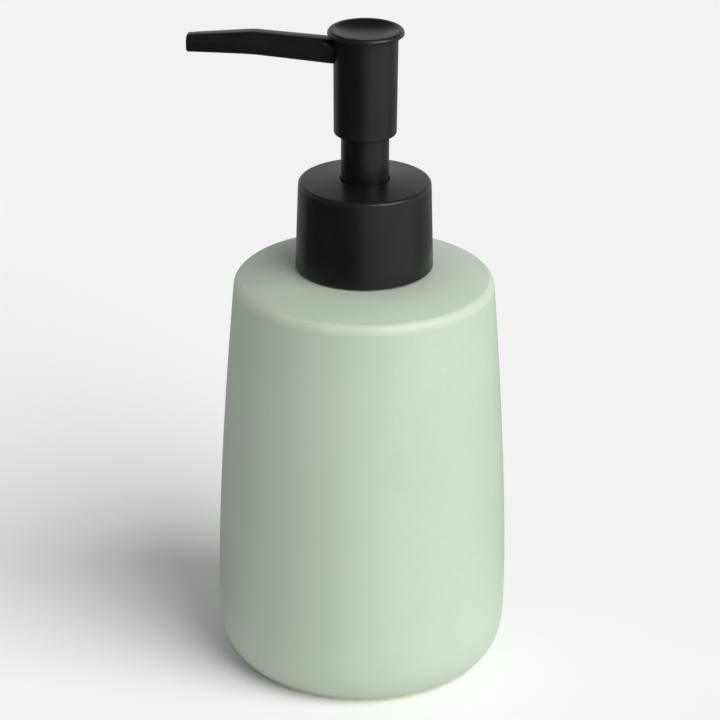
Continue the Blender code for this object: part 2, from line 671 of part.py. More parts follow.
def make_spout(material):
    """Tapered nozzle: a round spigot inside the head, a rising run, a bend and a drooping tip."""
    face_radius = SHELL_RADIUS + SHELL_DRAFT + 2 * GAP
    elbow_height = SPOUT_HEIGHT + ELBOW_RISE
    stations = [
        (face_radius, SPOUT_HEIGHT, SPOUT_ROOT_SIZE),
        (ELBOW_REACH, elbow_height, SPOUT_ELBOW_SIZE),
        (SPOUT_REACH, elbow_height - TIP_DROP, SPOUT_TIP_SIZE),
    ]
    path = [Vector((-reach, 0, height)) for reach, height, size in stations]
    sections = [rounded_square(size, size) for reach, height, size in stations]
    for offset in sections[0]:
        offset.x = face_radius - math.sqrt(face_radius ** 2 - offset.y ** 2)
    spout = swept("spout", path, sections, material)
    start = Vector((-SPIGOT_END, 0, SPOUT_HEIGHT))
    inside = Vector((-face_radius - 2 * MM, 0, SPOUT_HEIGHT))
    boolean(spout, rod("spout_spigot", SPIGOT_RADIUS, start, inside), "UNION")
    round_bore = [
        Vector((0, SPOUT_BORE * math.cos(a), SPOUT_BORE * math.sin(a)))
        for a in (math.tau * side / SPOUT_SIDES for side in range(SPOUT_SIDES))
    ]
    bore_path = [path[0] + Vector((SHELL_RADIUS, 0, 0)), path[0], path[1], path[2]]
    bore_path.append(path[2] + (path[2] - path[1]) * 0.2)
    boolean(spout, swept("spout_bore", bore_path, [round_bore] * len(bore_path)), "DIFFERENCE")
    return spout


clear_scene()

glaze = finish("sage glaze", (0.52, 0.62, 0.50), 0.42)
black = finish("satin black plastic", (0.012, 0.012, 0.012), 0.38)
natural = finish("natural plastic", (0.80, 0.81, 0.78), 0.35)
soft_white = finish("soft white plastic", (0.72, 0.73, 0.72), 0.45)
silicone = finish("grey silicone", (0.30, 0.31, 0.31), 0.55)
steel = finish("spring steel", (0.62, 0.62, 0.60), 0.25, 1.0)

BODIES = {
    "bottle": [make_bottle(glaze)],
    "neck_plug": [make_neck_seal(silicone), make_neck_insert(natural)],
    "closure": [make_inner_closure(natural), make_collar(black)],
    "pump_body": [
        make_neck_gasket(silicone), make_pump_housing(natural), make_chaplet(natural),
        make_ball_cage(natural), make_dip_tube(natural),
    ],
    "inlet_ball": [make_inlet_ball(steel)],
    "return_spring": [make_return_spring(steel)],
    "piston": [make_piston(soft_white)],
    "plunger": [
        make_stem(natural), make_piston_tip(natural), make_stem_sleeve(black), make_head_core(natural),
        make_head_shell(black), make_press_cap(black), make_spout(black),
    ],
}

for body, pieces in BODIES.items():
    axis = bpy.data.objects.new(f"{body}_axis", None)
    bpy.context.scene.collection.objects.link(axis)
    for piece in pieces:
        piece.parent = axis
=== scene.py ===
"""Looks of the soap pump dispenser: a glazed bottle, a satin black head and the pump's inner pieces.

Metres, +Z up. The bottle stands on Z = 0, the pump works along the Z axis and the spout points
along -X. Every piece is built round the box of the solid that it stands for, and rides on its body.
"""

import json
import math

import bmesh
import bpy
from mathutils import Matrix, Vector, noise


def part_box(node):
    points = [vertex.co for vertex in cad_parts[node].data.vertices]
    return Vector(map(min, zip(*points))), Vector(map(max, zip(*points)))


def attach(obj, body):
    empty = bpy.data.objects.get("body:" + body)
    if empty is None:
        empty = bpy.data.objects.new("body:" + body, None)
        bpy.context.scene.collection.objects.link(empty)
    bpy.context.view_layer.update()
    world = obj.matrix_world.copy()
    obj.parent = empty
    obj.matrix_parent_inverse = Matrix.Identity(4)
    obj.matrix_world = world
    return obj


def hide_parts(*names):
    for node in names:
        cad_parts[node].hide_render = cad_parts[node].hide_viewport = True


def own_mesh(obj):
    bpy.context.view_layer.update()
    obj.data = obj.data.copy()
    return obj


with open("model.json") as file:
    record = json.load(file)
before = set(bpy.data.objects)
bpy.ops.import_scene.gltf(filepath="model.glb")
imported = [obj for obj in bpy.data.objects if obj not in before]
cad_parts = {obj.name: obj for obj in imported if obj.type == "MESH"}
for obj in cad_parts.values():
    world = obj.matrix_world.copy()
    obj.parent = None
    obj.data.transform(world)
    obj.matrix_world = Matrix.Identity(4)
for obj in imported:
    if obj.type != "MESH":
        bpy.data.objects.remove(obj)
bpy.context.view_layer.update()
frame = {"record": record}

MM = 0.001
GAP = 0.3 * MM
TINY = 1e-7

# How finely round work is drawn
LARGE_STEPS = 144
SMALL_STEPS = 96
ARC_PIECE = 0.12 * MM
FEWEST_ARC_STEPS = 4
MOST_ARC_STEPS = 14
SHARP_ANGLE = math.radians(50)

# Bottle
FOOT_RADIUS = 32.3 * MM
FOOT_BAND = 0.8 * MM
CLAY_STEP = 0.3 * MM
GLAZE_LINE = 0.55 * MM
BELLY_HEIGHT = 26.0 * MM
LOW_CURVE_POWER = 6
SHOULDER_RADIUS = 33.1 * MM
SHOULDER_DROP = 3.4 * MM
SHOULDER_FILLET = 2.8 * MM
SIDE_TAPER_POWER = 1.5
MOUTH_RADIUS = 12.65 * MM
MOUTH_LAND = 5.0 * MM
BOTTLE_WALL = 4.0 * MM
BOTTLE_FLOOR = 5.0 * MM
FLOOR_FILLET = 4.0 * MM
THROAT_LENGTH = 7.3 * MM
THROAT_WALL = 3.0 * MM
HAND_WOBBLE = 0.0012
WOBBLE_SIZE = 38 * MM

# Head
SLEEVE_WALL = 1.2 * MM
SHELL_WALL = 1.35 * MM
SHELL_DRAFT = 0.2 * MM
SHELL_FILLET = 0.65 * MM
CAP_RIM = 1.5 * MM
CAP_ROUND = 1.0 * MM
CAP_DISH_DEPTH = 1.4 * MM
CAP_DISH_POWER = 2.8
CORE_SEAT = 5.8 * MM
STEM_ENGAGEMENT = 5.9 * MM

# Spout
ELBOW_REACH = 28.4 * MM
ELBOW_RISE = 1.15 * MM
ELBOW_SOFTENING = 2.2 * MM
TIP_DROP = 1.0 * MM
SPOUT_ROOT_SIZE = 6.3 * MM
SPOUT_ELBOW_SIZE = 5.9 * MM
SPOUT_TIP_SIZE = 4.5 * MM
SPOUT_SQUARENESS = 3.5
SPOUT_BORE = 1.2 * MM
SPIGOT_RADIUS = 1.9 * MM
SPIGOT_END = 3.4 * MM
TIP_FILLET = 0.45 * MM
SPOUT_STEPS = 64

# Collar, neck and thread
COLLAR_FLARE = 0.7 * MM
COLLAR_TOP_WALL = 2.4 * MM
COLLAR_CONE = 0.8 * MM
COLLAR_HOLE_GAP = 0.15 * MM
COLLAR_FILLET = 0.9 * MM
CLOSURE_TOP = 1.2 * MM
CLOSURE_WALL = 1.7 * MM
INSERT_WALL = 1.8 * MM
INSERT_FLANGE = 1.5 * MM
NECK_WALL = 3.6 * MM
PITCH = 3.175 * MM
THREAD_DEPTH = 1.0 * MM
THREAD_RUN = 0.35 * MM
THREAD_TURNS = 1
THREAD_RUN_IN = 0.06
RIDGE_WIDTH = 1.1 * MM
RIDGE_TIP = 0.6 * MM
RIDGE_BELOW_LIP = 2.6 * MM
THREAD_ROW = 0.14 * MM
SEAL_RIB = 0.5 * MM
SEAL_RIBS = 3
SEAL_FLANGE = 0.9 * MM
SEAL_WALL = 1.3 * MM

# Pump
STEM_BORE = 1.7 * MM
STEM_RADIUS = 3.0 * MM
SHOULDER_THICKNESS = 1.2 * MM
PORT_RADIUS = 0.8 * MM
PORT_RISE = 2.7 * MM
PISTON_RELIEF = 0.9 * MM
RELIEF_LENGTH = 3.6 * MM
PISTON_LIP = 0.5 * MM
PISTON_LIP_LENGTH = 1.6 * MM
TIP_FLANGE = 1.9 * MM
TIP_BOSS = 2.4 * MM
CHAPLET_WALL = 0.7 * MM
CHAPLET_FLOOR = 1.4 * MM
LOCK_WIDTH = 1.6 * MM
LOCK_THICKNESS = 0.8 * MM
HOUSING_WALL = 1.3 * MM
FLANGE_THICKNESS = 1.2 * MM
CYLINDER_WALL = 0.9 * MM
BALL_ROOM = 1.0 * MM
BALL_LIFT = 1.5 * MM
INLET_RADIUS = 1.7 * MM
SOCKET_LENGTH = 9.8 * MM
SOCKET_WALL = 1.6 * MM
CAGE_HOLE = 0.9 * MM
CAGE_HOLES = 4
TUBE_WALL = 0.7 * MM
TUBE_CUT = 3.0 * MM
SPRING_WIRE = 0.45 * MM
SPRING_TURNS = 7
WIRE_SIDES = 14
COIL_STEPS = 40


def extent(node):
    """Outer radius, foot and top of a piece turned about the pump's axis."""
    low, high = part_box(node)
    return high.y, low.z, high.z


BELLY_RADIUS, BOTTLE_FOOT, BOTTLE_HEIGHT = extent("bottle")
SIDE_TOP = BOTTLE_HEIGHT - SHOULDER_DROP
SLEEVE_RADIUS, SLEEVE_FOOT, SLEEVE_TOP = extent("stem_sleeve")
SHELL_RADIUS, HEAD_FOOT, SHELL_TOP = extent("head_shell")
CORE_RADIUS, CORE_SPIGOT_FOOT, CORE_TOP = extent("head_core")
CAP_RADIUS, PLUG_FOOT, CAP_TOP = extent("press_cap")
CAP_FOOT = SHELL_TOP + GAP
CORE_FOOT = HEAD_FOOT + CORE_SEAT
COLLAR_RADIUS, COLLAR_FOOT, COLLAR_TOP = extent("collar")
FLANGE_RADIUS, NECK_STUB_FOOT, NECK_LIP = extent("neck_insert")
CLOSURE_RADIUS, CLOSURE_FOOT, PLATE_TOP = extent("inner_closure")
GASKET_RADIUS, GASKET_FOOT, GASKET_TOP = extent("neck_gasket")
SEAL_FLANGE_RADIUS, SEAL_FOOT, SEAL_TOP = extent("neck_seal")
NECK_RADIUS = GASKET_RADIUS
NECK_BORE = NECK_RADIUS - NECK_WALL
THREAD_START = NECK_LIP - RIDGE_BELOW_LIP - PITCH * THREAD_TURNS
STEM_SHOULDER, STEM_FOOT, STEM_TOP = extent("stem")
STEM_HOLE = STEM_RADIUS + GAP
BALL_RADIUS = extent("inlet_ball")[0]
TUBE_RADIUS, TUBE_FOOT, TUBE_TOP = extent("dip_tube")


# ---------------------------------------------------------------- shaping

def outline(corners):
    """A closed outline through corners (radius, height, fillet).

    A fillet is drawn as an arc, with a support point on either side that keeps the flats flat.
    Each point is (radius, height, edge), where edge is 1 on an arc that stands proud.
    """
    places = [Vector(corner[:2]) for corner in corners]
    area = sum(a.x * b.y - b.x * a.y for a, b in zip(places, places[1:] + places[:1]))
    points = []
    for index, (radius, height, fillet) in enumerate(corners):
        corner = places[index]
        if not fillet:
            points.append((radius, height, 0.0))
            continue
        before = places[index - 1] - corner
        after = places[(index + 1) % len(places)] - corner
        half = before.angle(after) / 2
        reach = fillet / math.tan(half)
        support_before = min(reach + fillet / 2, (reach + before.length) / 2)
        support_after = min(reach + fillet / 2, (reach + after.length) / 2)
        before.normalize()
        after.normalize()
        centre = corner + (before + after).normalized() * fillet / math.sin(half)
        spoke = corner + before * reach - centre
        turn = math.pi - 2 * half
        facing = after.x * before.y - before.x * after.y
        proud = 1.0 if facing * area > 0 else 0.0
        if facing < 0:
            turn = -turn
        steps = round(fillet * abs(turn) / ARC_PIECE)
        steps = max(FEWEST_ARC_STEPS, min(MOST_ARC_STEPS, steps))
        points.append((*(corner + before * support_before), 0.0))
        for step in range(steps + 1):
            place = centre + Matrix.Rotation(turn * step / steps, 2) @ spoke
            points.append((*place, proud))
        points.append((*(corner + after * support_after), 0.0))
    return points


def ring_of(build, places):
    return [build.verts.new(place) for place in places]


def bridge(build, first, second):
    """Faces between two closed rings of points, either of which may be a single pole."""
    count = max(len(first), len(second))
    for index in range(count):
        corners = []
        for ring, place in ((first, index), (first, index + 1), (second, index + 1), (second, index)):
            corner = ring[place % len(ring)]
            if corner not in corners:
                corners.append(corner)
        if len(corners) > 2:
            build.faces.new(corners)


def piece_from(name, build):
    """An object from a closed mesh, faces outwards, shaded smooth apart from its true corners."""
    bmesh.ops.recalc_face_normals(build, faces=build.faces)
    mesh = bpy.data.meshes.new(name)
    build.to_mesh(mesh)
    build.free()
    mesh.shade_smooth()
    mesh.set_sharp_from_angle(angle=SHARP_ANGLE)
    piece = bpy.data.objects.new(name, mesh)
    bpy.context.scene.collection.objects.link(piece)
    return piece


def turned(name, points, steps=SMALL_STEPS, relief=None):
    """A piece turned about the Z axis. relief(angle, radius, height) may move a point in or out."""
    build = bmesh.new()
    edge_mark = build.verts.layers.float.new("edge")
    rings = []
    for radius, height, edge in points:
        if radius < TINY:
            rings.append(ring_of(build, [(0, 0, height)]))
            continue
        places = []
        for step in range(steps):
            angle = math.tau * step / steps
            here = relief(angle, radius, height) if relief else radius
            places.append((here * math.cos(angle), here * math.sin(angle), height))
        ring = ring_of(build, places)
        for corner in ring:
            corner[edge_mark] = edge
        rings.append(ring)
    for first, second in zip(rings, rings[1:] + rings[:1]):
        bridge(build, first, second)
    return piece_from(name, build)


def rod(name, radius, start, end, steps=SMALL_STEPS // 2):
    """A plain bar between two points, which only cuts."""
    build = bmesh.new()
    along = Vector(end) - Vector(start)
    place = Matrix.Translation(start) @ along.to_track_quat("Z", "Y").to_matrix().to_4x4()
    turns = [math.tau * step / steps for step in range(steps)]
    rings = [
        ring_of(build, [place @ Vector((radius * math.cos(a), radius * math.sin(a), height)) for a in turns])
        for height in (0, along.length)
    ]
    bridge(build, *rings)
    for ring in rings:
        build.faces.new(ring)
    return piece_from(name, build)


def cut(piece, *tools):
    """Cuts each tool out of the piece for good, and removes the tool."""
    for tool in tools:
        step = piece.modifiers.new(tool.name, "BOOLEAN")
        step.operation = "DIFFERENCE"
        step.object = tool
    bpy.context.view_layer.update()
    seen = piece.evaluated_get(bpy.context.evaluated_depsgraph_get())
    mesh = bpy.data.meshes.new_from_object(seen)
    piece.modifiers.clear()
    piece.data = mesh
    for tool in tools:
        bpy.data.objects.remove(tool)
    return piece


def smooth_share(share):
    share = max(0.0, min(1.0, share))
    return share * share * (3 - 2 * share)


def ridge_share(angle, height, start):
    """How far a point stands up on a right-hand thread, from 0 to 1, with both ends run in."""
    share = 0.0
    for turn in range(THREAD_TURNS):
        along = angle / math.tau + turn
        off = abs(height - start - PITCH * along)
        flank = (RIDGE_WIDTH / 2 - off) / ((RIDGE_WIDTH - RIDGE_TIP) / 2)
        ends = min(along, THREAD_TURNS - along) / THREAD_RUN_IN
        share = max(share, smooth_share(flank) * smooth_share(ends))
    return share


def with_rows(points, wall_radius):
    """The outline with close rows along its straight walls of that radius, for a thread to stand on."""
    filled = []
    for here, ahead in zip(points, points[1:] + points[:1]):
        filled.append(here)
        if max(abs(here[0] - wall_radius), abs(ahead[0] - wall_radius)) > TINY:
            continue
        rows = round(abs(ahead[1] - here[1]) / THREAD_ROW)
        for row in range(1, rows):
            filled.append((wall_radius, here[1] + (ahead[1] - here[1]) * row / rows, 0.0))
    return filled


# ---------------------------------------------------------------- bottle

def side_radius(height):
    """The bottle's outside: a quick curve out from the foot, then a slow taper to the shoulder."""
    if height < BELLY_HEIGHT:
        share = (BELLY_HEIGHT - height) / (BELLY_HEIGHT - FOOT_BAND)
        return BELLY_RADIUS - (BELLY_RADIUS - FOOT_RADIUS) * share ** LOW_CURVE_POWER
    share = (height - BELLY_HEIGHT) / (SIDE_TOP - BELLY_HEIGHT)
    return BELLY_RADIUS - (BELLY_RADIUS - SHOULDER_RADIUS) * share ** SIDE_TAPER_POWER


def side_corners(start, end, steps, wall=0.0):
    heights = [start + (end - start) * step / steps for step in range(steps)]
    return [(side_radius(height) - wall, height, 0) for height in heights]


def bottle_corners():
    """Unglazed foot, glaze edge, side, shoulder, domed top, mouth, throat, hollow and floor."""
    clay = FOOT_RADIUS - CLAY_STEP
    corners = [(clay, BOTTLE_FOOT, CLAY_STEP / 2), (clay, GLAZE_LINE, 0)]
    corners += side_corners(FOOT_BAND, BELLY_HEIGHT, 34)
    corners += side_corners(BELLY_HEIGHT, SIDE_TOP, 30)
    corners.append((SHOULDER_RADIUS, SIDE_TOP, SHOULDER_FILLET))
    land = MOUTH_RADIUS + MOUTH_LAND
    dome_steps = 12
    for step in range(1, dome_steps + 1):
        share = 1 - step / dome_steps
        radius = land + (SHOULDER_RADIUS - land) * share
        corners.append((radius, BOTTLE_HEIGHT - SHOULDER_DROP * share ** 2, 0))
    throat_foot = BOTTLE_HEIGHT - THROAT_LENGTH
    throat_outside = MOUTH_RADIUS + THROAT_WALL
    roof = SIDE_TOP - BOTTLE_WALL
    fillet_top = BOTTLE_FLOOR + 2 * FLOOR_FILLET
    corners += [
        (MOUTH_RADIUS, BOTTLE_HEIGHT, 0.6 * MM), (MOUTH_RADIUS, throat_foot, 0.8 * MM),
        (throat_outside, throat_foot, 0.8 * MM),
        (throat_outside + THROAT_WALL, BOTTLE_HEIGHT - BOTTLE_WALL, 2 * MM),
        (SHOULDER_RADIUS - BOTTLE_WALL, roof, SHOULDER_FILLET),
    ]
    corners += side_corners(roof, fillet_top, 24, BOTTLE_WALL)[1:]
    corners.append((side_radius(fillet_top) - BOTTLE_WALL, BOTTLE_FLOOR, FLOOR_FILLET))
    corners += [(0, BOTTLE_FLOOR, 0), (0, BOTTLE_FOOT, 0)]
    return corners


def make_bottle():
    """The bottle, very slightly out of round, as slip casting and drying leave it."""
    def out_of_round(angle, radius, height):
        if height < GLAZE_LINE:
            return radius
        place = Vector((radius * math.cos(angle), radius * math.sin(angle), height)) / WOBBLE_SIZE
        return radius * (1 - HAND_WOBBLE * (0.5 + 0.5 * noise.noise(place)))
    return turned("glazed_bottle", outline(bottle_corners()), LARGE_STEPS, out_of_round)


# ---------------------------------------------------------------- neck and closure

def make_neck_seal():
    """Soft sleeve with ribs that grip the mouth and a flange that lies on it."""
    grip = MOUTH_RADIUS - GAP
    core = grip - SEAL_RIB
    bore = grip - SEAL_WALL
    pitch = (BOTTLE_HEIGHT - SEAL_FOOT) / (SEAL_RIBS + 1)
    corners = [(bore, SEAL_FOOT, 0.15 * MM), (core, SEAL_FOOT, 0.2 * MM)]
    for rib in range(1, SEAL_RIBS + 1):
        middle = SEAL_FOOT + rib * pitch
        corners += [
            (core, middle - SEAL_RIB, 0.12 * MM), (grip, middle, 0.16 * MM),
            (core, middle + SEAL_RIB, 0.12 * MM),
        ]
    flange_foot = SEAL_TOP - SEAL_FLANGE
    corners += [
        (core, flange_foot, 0.2 * MM), (SEAL_FLANGE_RADIUS, flange_foot, 0.25 * MM),
        (SEAL_FLANGE_RADIUS, SEAL_TOP, 0.25 * MM), (bore, SEAL_TOP, 0.15 * MM),
    ]
    return turned("ribbed_neck_seal", outline(corners))


def make_neck_insert():
    """Threaded neck on a flange, with a stub that goes down inside the seal."""
    seat = SEAL_TOP + GAP
    foot = seat + INSERT_FLANGE
    stub = NECK_BORE + INSERT_WALL
    points = outline([
        (NECK_BORE, NECK_STUB_FOOT, 0.25 * MM), (stub, NECK_STUB_FOOT, 0.3 * MM), (stub, seat, 0.3 * MM),
        (FLANGE_RADIUS, seat, 0.25 * MM), (FLANGE_RADIUS, foot, 0.3 * MM), (NECK_RADIUS, foot, 0.4 * MM),
        (NECK_RADIUS, NECK_LIP, 0.4 * MM), (NECK_BORE, NECK_LIP, 0.3 * MM),
    ])

    def thread(angle, radius, height):
        if abs(radius - NECK_RADIUS) > TINY or height < foot:
            return radius
        return radius + THREAD_DEPTH * ridge_share(angle, height, THREAD_START)
    return turned("threaded_neck", with_rows(points, NECK_RADIUS), LARGE_STEPS, thread)


def make_inner_closure():
    """Threaded closure whose top plate holds the pump's flange down."""
    bore = CLOSURE_RADIUS - CLOSURE_WALL
    hole = extent("chaplet")[0] - LOCK_WIDTH + GAP
    plate_foot = PLATE_TOP - CLOSURE_TOP
    points = outline([
        (hole, PLATE_TOP, 0.25 * MM), (hole, plate_foot, 0.25 * MM), (bore, plate_foot, 0.3 * MM),
        (bore, CLOSURE_FOOT, 0.4 * MM), (CLOSURE_RADIUS, CLOSURE_FOOT, 0.3 * MM),
        (CLOSURE_RADIUS, PLATE_TOP, 0.6 * MM),
    ])
    rise = bore - NECK_RADIUS - THREAD_RUN

    def thread(angle, radius, height):
        if abs(radius - bore) > TINY:
            return radius
        return radius - rise * ridge_share(angle, height, THREAD_START - PITCH / 2)
    return turned("threaded_closure", with_rows(points, bore), LARGE_STEPS, thread)


def make_collar():
    """Outer cover of the closure, a little wider at the bottom, its top a very low cone."""
    bore = CLOSURE_RADIUS + GAP
    hole = SLEEVE_RADIUS + COLLAR_HOLE_GAP
    ceiling = COLLAR_TOP - COLLAR_TOP_WALL
    rim = COLLAR_TOP - COLLAR_CONE
    return turned("collar_cover", outline([
        (bore, COLLAR_FOOT, 0.15 * MM), (COLLAR_RADIUS, COLLAR_FOOT, 0.3 * MM),
        (COLLAR_RADIUS - COLLAR_FLARE, rim, COLLAR_FILLET), (hole, COLLAR_TOP, 0.25 * MM),
        (hole, ceiling, 0.15 * MM), (bore, ceiling, 0.5 * MM),
    ]), LARGE_STEPS)


def make_neck_gasket():
    return turned("flat_gasket", outline([
        (NECK_BORE, GASKET_FOOT, 0.12 * MM), (GASKET_RADIUS, GASKET_FOOT, 0.12 * MM),
        (GASKET_RADIUS, GASKET_TOP, 0.12 * MM), (NECK_BORE, GASKET_TOP, 0.12 * MM),
    ]))


# ---------------------------------------------------------------- pump body

def make_pump_housing():
    """Flange, wide cup, cylinder, ball seat and the socket for the suction tube, in one moulding."""
    flange_radius, foot, top = extent("pump_housing")
    cup_bore = extent("chaplet")[0] - LOCK_WIDTH + GAP
    cup_radius = cup_bore + HOUSING_WALL
    cylinder_bore = extent("piston")[0] + GAP
    cylinder_radius = cylinder_bore + CYLINDER_WALL
    step_height = extent("chaplet")[1] - GAP
    floor = extent("ball_cage")[1] - GAP
    chamber = BALL_RADIUS + BALL_ROOM
    ball_height = (extent("inlet_ball")[1] + extent("inlet_ball")[2]) / 2
    cone_foot = ball_height - (BALL_RADIUS + GAP) * math.sqrt(2) + INLET_RADIUS
    chamber_foot = cone_foot + chamber - INLET_RADIUS
    socket_bore = TUBE_RADIUS + GAP
    socket_radius = socket_bore + SOCKET_WALL
    socket_top = foot + SOCKET_LENGTH
    flange_foot = top - FLANGE_THICKNESS
    return turned("pump_cylinder", outline([
        (INLET_RADIUS, socket_top, 0.1 * MM), (socket_bore, socket_top, 0.1 * MM),
        (socket_bore, foot, 0.3 * MM), (socket_radius, foot, 0.3 * MM),
        (socket_radius, cone_foot, 0.4 * MM), (chamber + CYLINDER_WALL, chamber_foot, 0.4 * MM),
        (chamber + CYLINDER_WALL, floor - BALL_LIFT, 0.3 * MM), (cylinder_radius, floor, 0.3 * MM),
        (cylinder_radius, step_height - CHAPLET_FLOOR, 0.5 * MM), (cup_radius, step_height, 0.5 * MM),
        (cup_radius, flange_foot, 0.4 * MM), (flange_radius, flange_foot, 0.2 * MM),
        (flange_radius, top, 0.25 * MM), (cup_bore, top, 0.3 * MM), (cup_bore, step_height, 0.2 * MM),
        (cylinder_bore, step_height, 0.3 * MM), (cylinder_bore, floor, 0.2 * MM),
        (chamber, floor, 0.2 * MM), (chamber, chamber_foot, 0.2 * MM), (INLET_RADIUS, cone_foot, 0.2 * MM),
    ]))


def make_chaplet():
    """Guide cup: its floor guides the stem, its wall the sleeve, and its ring locks it down."""
    lock_radius, foot, top = extent("chaplet")
    radius = lock_radius - LOCK_WIDTH
    bore = radius - CHAPLET_WALL
    cup_bottom = foot + CHAPLET_FLOOR
    lock_top = PLATE_TOP - CLOSURE_TOP - GAP
    lock_foot = lock_top - LOCK_THICKNESS
    return turned("guide_cup", outline([
        (STEM_HOLE, foot, 0.15 * MM), (radius, foot, 0.3 * MM), (radius, lock_foot, 0.2 * MM),
        (lock_radius, lock_foot, 0.15 * MM), (lock_radius, lock_top, 0.2 * MM), (radius, lock_top, 0.2 * MM),
        (radius, top, 0.2 * MM), (bore, top, 0.2 * MM), (bore, cup_bottom, 0.3 * MM),
        (STEM_HOLE, cup_bottom, 0.2 * MM),
    ]))


def make_ball_cage():
    """Disc with flow holes that stops the ball and carries the spring."""
    radius, foot, top = extent("ball_cage")
    disc = turned("valve_cage", outline([
        (0, foot, 0), (radius, foot, 0.2 * MM), (radius, top, 0.2 * MM), (0, top, 0),
    ]))
    tools = []
    for hole in range(CAGE_HOLES):
        middle = Matrix.Rotation(math.tau * (hole + 0.5) / CAGE_HOLES, 3, "Z") @ Vector((BALL_RADIUS, 0, 0))
        low, high = (middle + Vector((0, 0, height)) for height in (foot - MM, top + MM))
        tools.append(rod(f"flow_hole_{hole}", CAGE_HOLE, low, high))
    return cut(disc, *tools)


def make_dip_tube():
    """Suction tube, cut at a slant so that it can't seal itself on the floor."""
    bore = TUBE_RADIUS - TUBE_WALL
    tube = turned("suction_tube", outline([
        (bore, TUBE_FOOT, 0.1 * MM), (TUBE_RADIUS, TUBE_FOOT, 0.12 * MM),
        (TUBE_RADIUS, TUBE_TOP, 0.12 * MM), (bore, TUBE_TOP, 0.1 * MM),
    ]), SMALL_STEPS // 2)
    for corner in tube.data.vertices:
        if corner.co.z < TUBE_FOOT + MM:
            corner.co.z += TUBE_CUT * (corner.co.x + TUBE_RADIUS) / (2 * TUBE_RADIUS)
    return tube


def make_inlet_ball():
    radius, low, high = extent("inlet_ball")
    middle = (low + high) / 2
    rows = 32
    turns = [math.pi * row / rows - math.pi / 2 for row in range(rows + 1)]
    arc = [(max(0, radius * math.cos(a)), middle + radius * math.sin(a), 0.0) for a in turns]
    return turned("valve_ball", arc, SMALL_STEPS // 2)


def make_return_spring():
    """Compression coil in round wire, with a closed turn at each end and rounded wire ends."""
    outer, foot, top = extent("return_spring")
    coil_radius = outer - SPRING_WIRE
    closed_pitch = 2 * SPRING_WIRE + GAP / 3
    low, high = foot + SPRING_WIRE, top - SPRING_WIRE
    open_pitch = (high - low - 2 * closed_pitch) / (SPRING_TURNS - 2)
    steps = SPRING_TURNS * COIL_STEPS
    build = bmesh.new()
    rings = []
    for step in range(steps + 1):
        turn = step / COIL_STEPS
        live = min(max(turn - 1, 0), SPRING_TURNS - 2)
        height = low + closed_pitch * (turn - live) + open_pitch * live
        outwards = Vector((math.cos(math.tau * turn), math.sin(math.tau * turn), 0))
        wire = SPRING_WIRE * (0.8 if step in (0, steps) else 1)
        rings.append(ring_of(build, [
            outwards * (coil_radius + wire * math.cos(a)) + Vector((0, 0, height + wire * math.sin(a)))
            for a in (math.tau * side / WIRE_SIDES for side in range(WIRE_SIDES))
        ]))
    for first, second in zip(rings, rings[1:]):
        bridge(build, first, second)
    build.faces.new(rings[0])
    build.faces.new(rings[-1])
    spring = piece_from("coil_spring", build)
    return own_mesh(spring)


# ---------------------------------------------------------------- plunger

def make_piston():
    """Seal with a lip at each end, relieved inside at the foot so that soap reaches the ports."""
    lip, foot, top = extent("piston")
    waist = lip - PISTON_LIP
    relief_top = foot + RELIEF_LENGTH
    relief_bore = STEM_HOLE + PISTON_RELIEF
    return turned("piston_seal", outline([
        (relief_bore, foot, 0.15 * MM), (lip, foot, 0.12 * MM), (waist, foot + PISTON_LIP_LENGTH, 0.4 * MM),
        (waist, top - PISTON_LIP_LENGTH, 0.4 * MM), (lip, top, 0.12 * MM), (STEM_HOLE, top, 0.15 * MM),
        (STEM_HOLE, relief_top, 0.1 * MM), (relief_bore, relief_top - PISTON_RELIEF, 0.2 * MM),
    ]))


def make_piston_tip():
    """Plug in the stem's end: the piston's valve seat above, the spring's seat below."""
    flange, foot, top = extent("piston_tip")
    seat = foot + TIP_BOSS
    tip_top = seat + TIP_FLANGE
    boss = extent("return_spring")[0] - 3 * SPRING_WIRE
    spigot = STEM_BORE - GAP
    return turned("piston_plug", outline([
        (0, foot, 0), (boss - SPRING_WIRE, foot, 0.5 * MM), (boss - SPRING_WIRE, seat, 0.1 * MM),
        (flange, seat, 0.2 * MM), (flange, tip_top, 0.3 * MM), (spigot, tip_top, 0.1 * MM),
        (spigot, top, 0.3 * MM), (0, top, 0),
    ]))


def make_stem():
    """Hollow plunger rod with a stop shoulder and a pair of cross ports."""
    stop = extent("chaplet")[1] - GAP
    shoulder_foot = stop - SHOULDER_THICKNESS
    stem = turned("plunger_rod", outline([
        (STEM_BORE, STEM_FOOT, 0.15 * MM), (STEM_RADIUS, STEM_FOOT, 0.2 * MM),
        (STEM_RADIUS, shoulder_foot, 0.2 * MM), (STEM_SHOULDER, shoulder_foot, 0.2 * MM),
        (STEM_SHOULDER, stop, 0.2 * MM), (STEM_RADIUS, stop, 0.2 * MM), (STEM_RADIUS, STEM_TOP, 0.3 * MM),
        (STEM_BORE, STEM_TOP, 0.2 * MM),
    ]), SMALL_STEPS // 2)
    height = extent("piston")[1] + PORT_RISE
    ends = [Vector((0, side * 2 * STEM_RADIUS, height)) for side in (-1, 1)]
    return cut(stem, rod("cross_port", PORT_RADIUS, *ends, SMALL_STEPS // 4))


def make_stem_sleeve():
    bore = SLEEVE_RADIUS - SLEEVE_WALL
    return turned("sliding_sleeve", outline([
        (bore, SLEEVE_FOOT, 0.2 * MM), (SLEEVE_RADIUS, SLEEVE_FOOT, 0.3 * MM),
        (SLEEVE_RADIUS, SLEEVE_TOP, 0.2 * MM), (bore, SLEEVE_TOP, 0.2 * MM),
    ]))


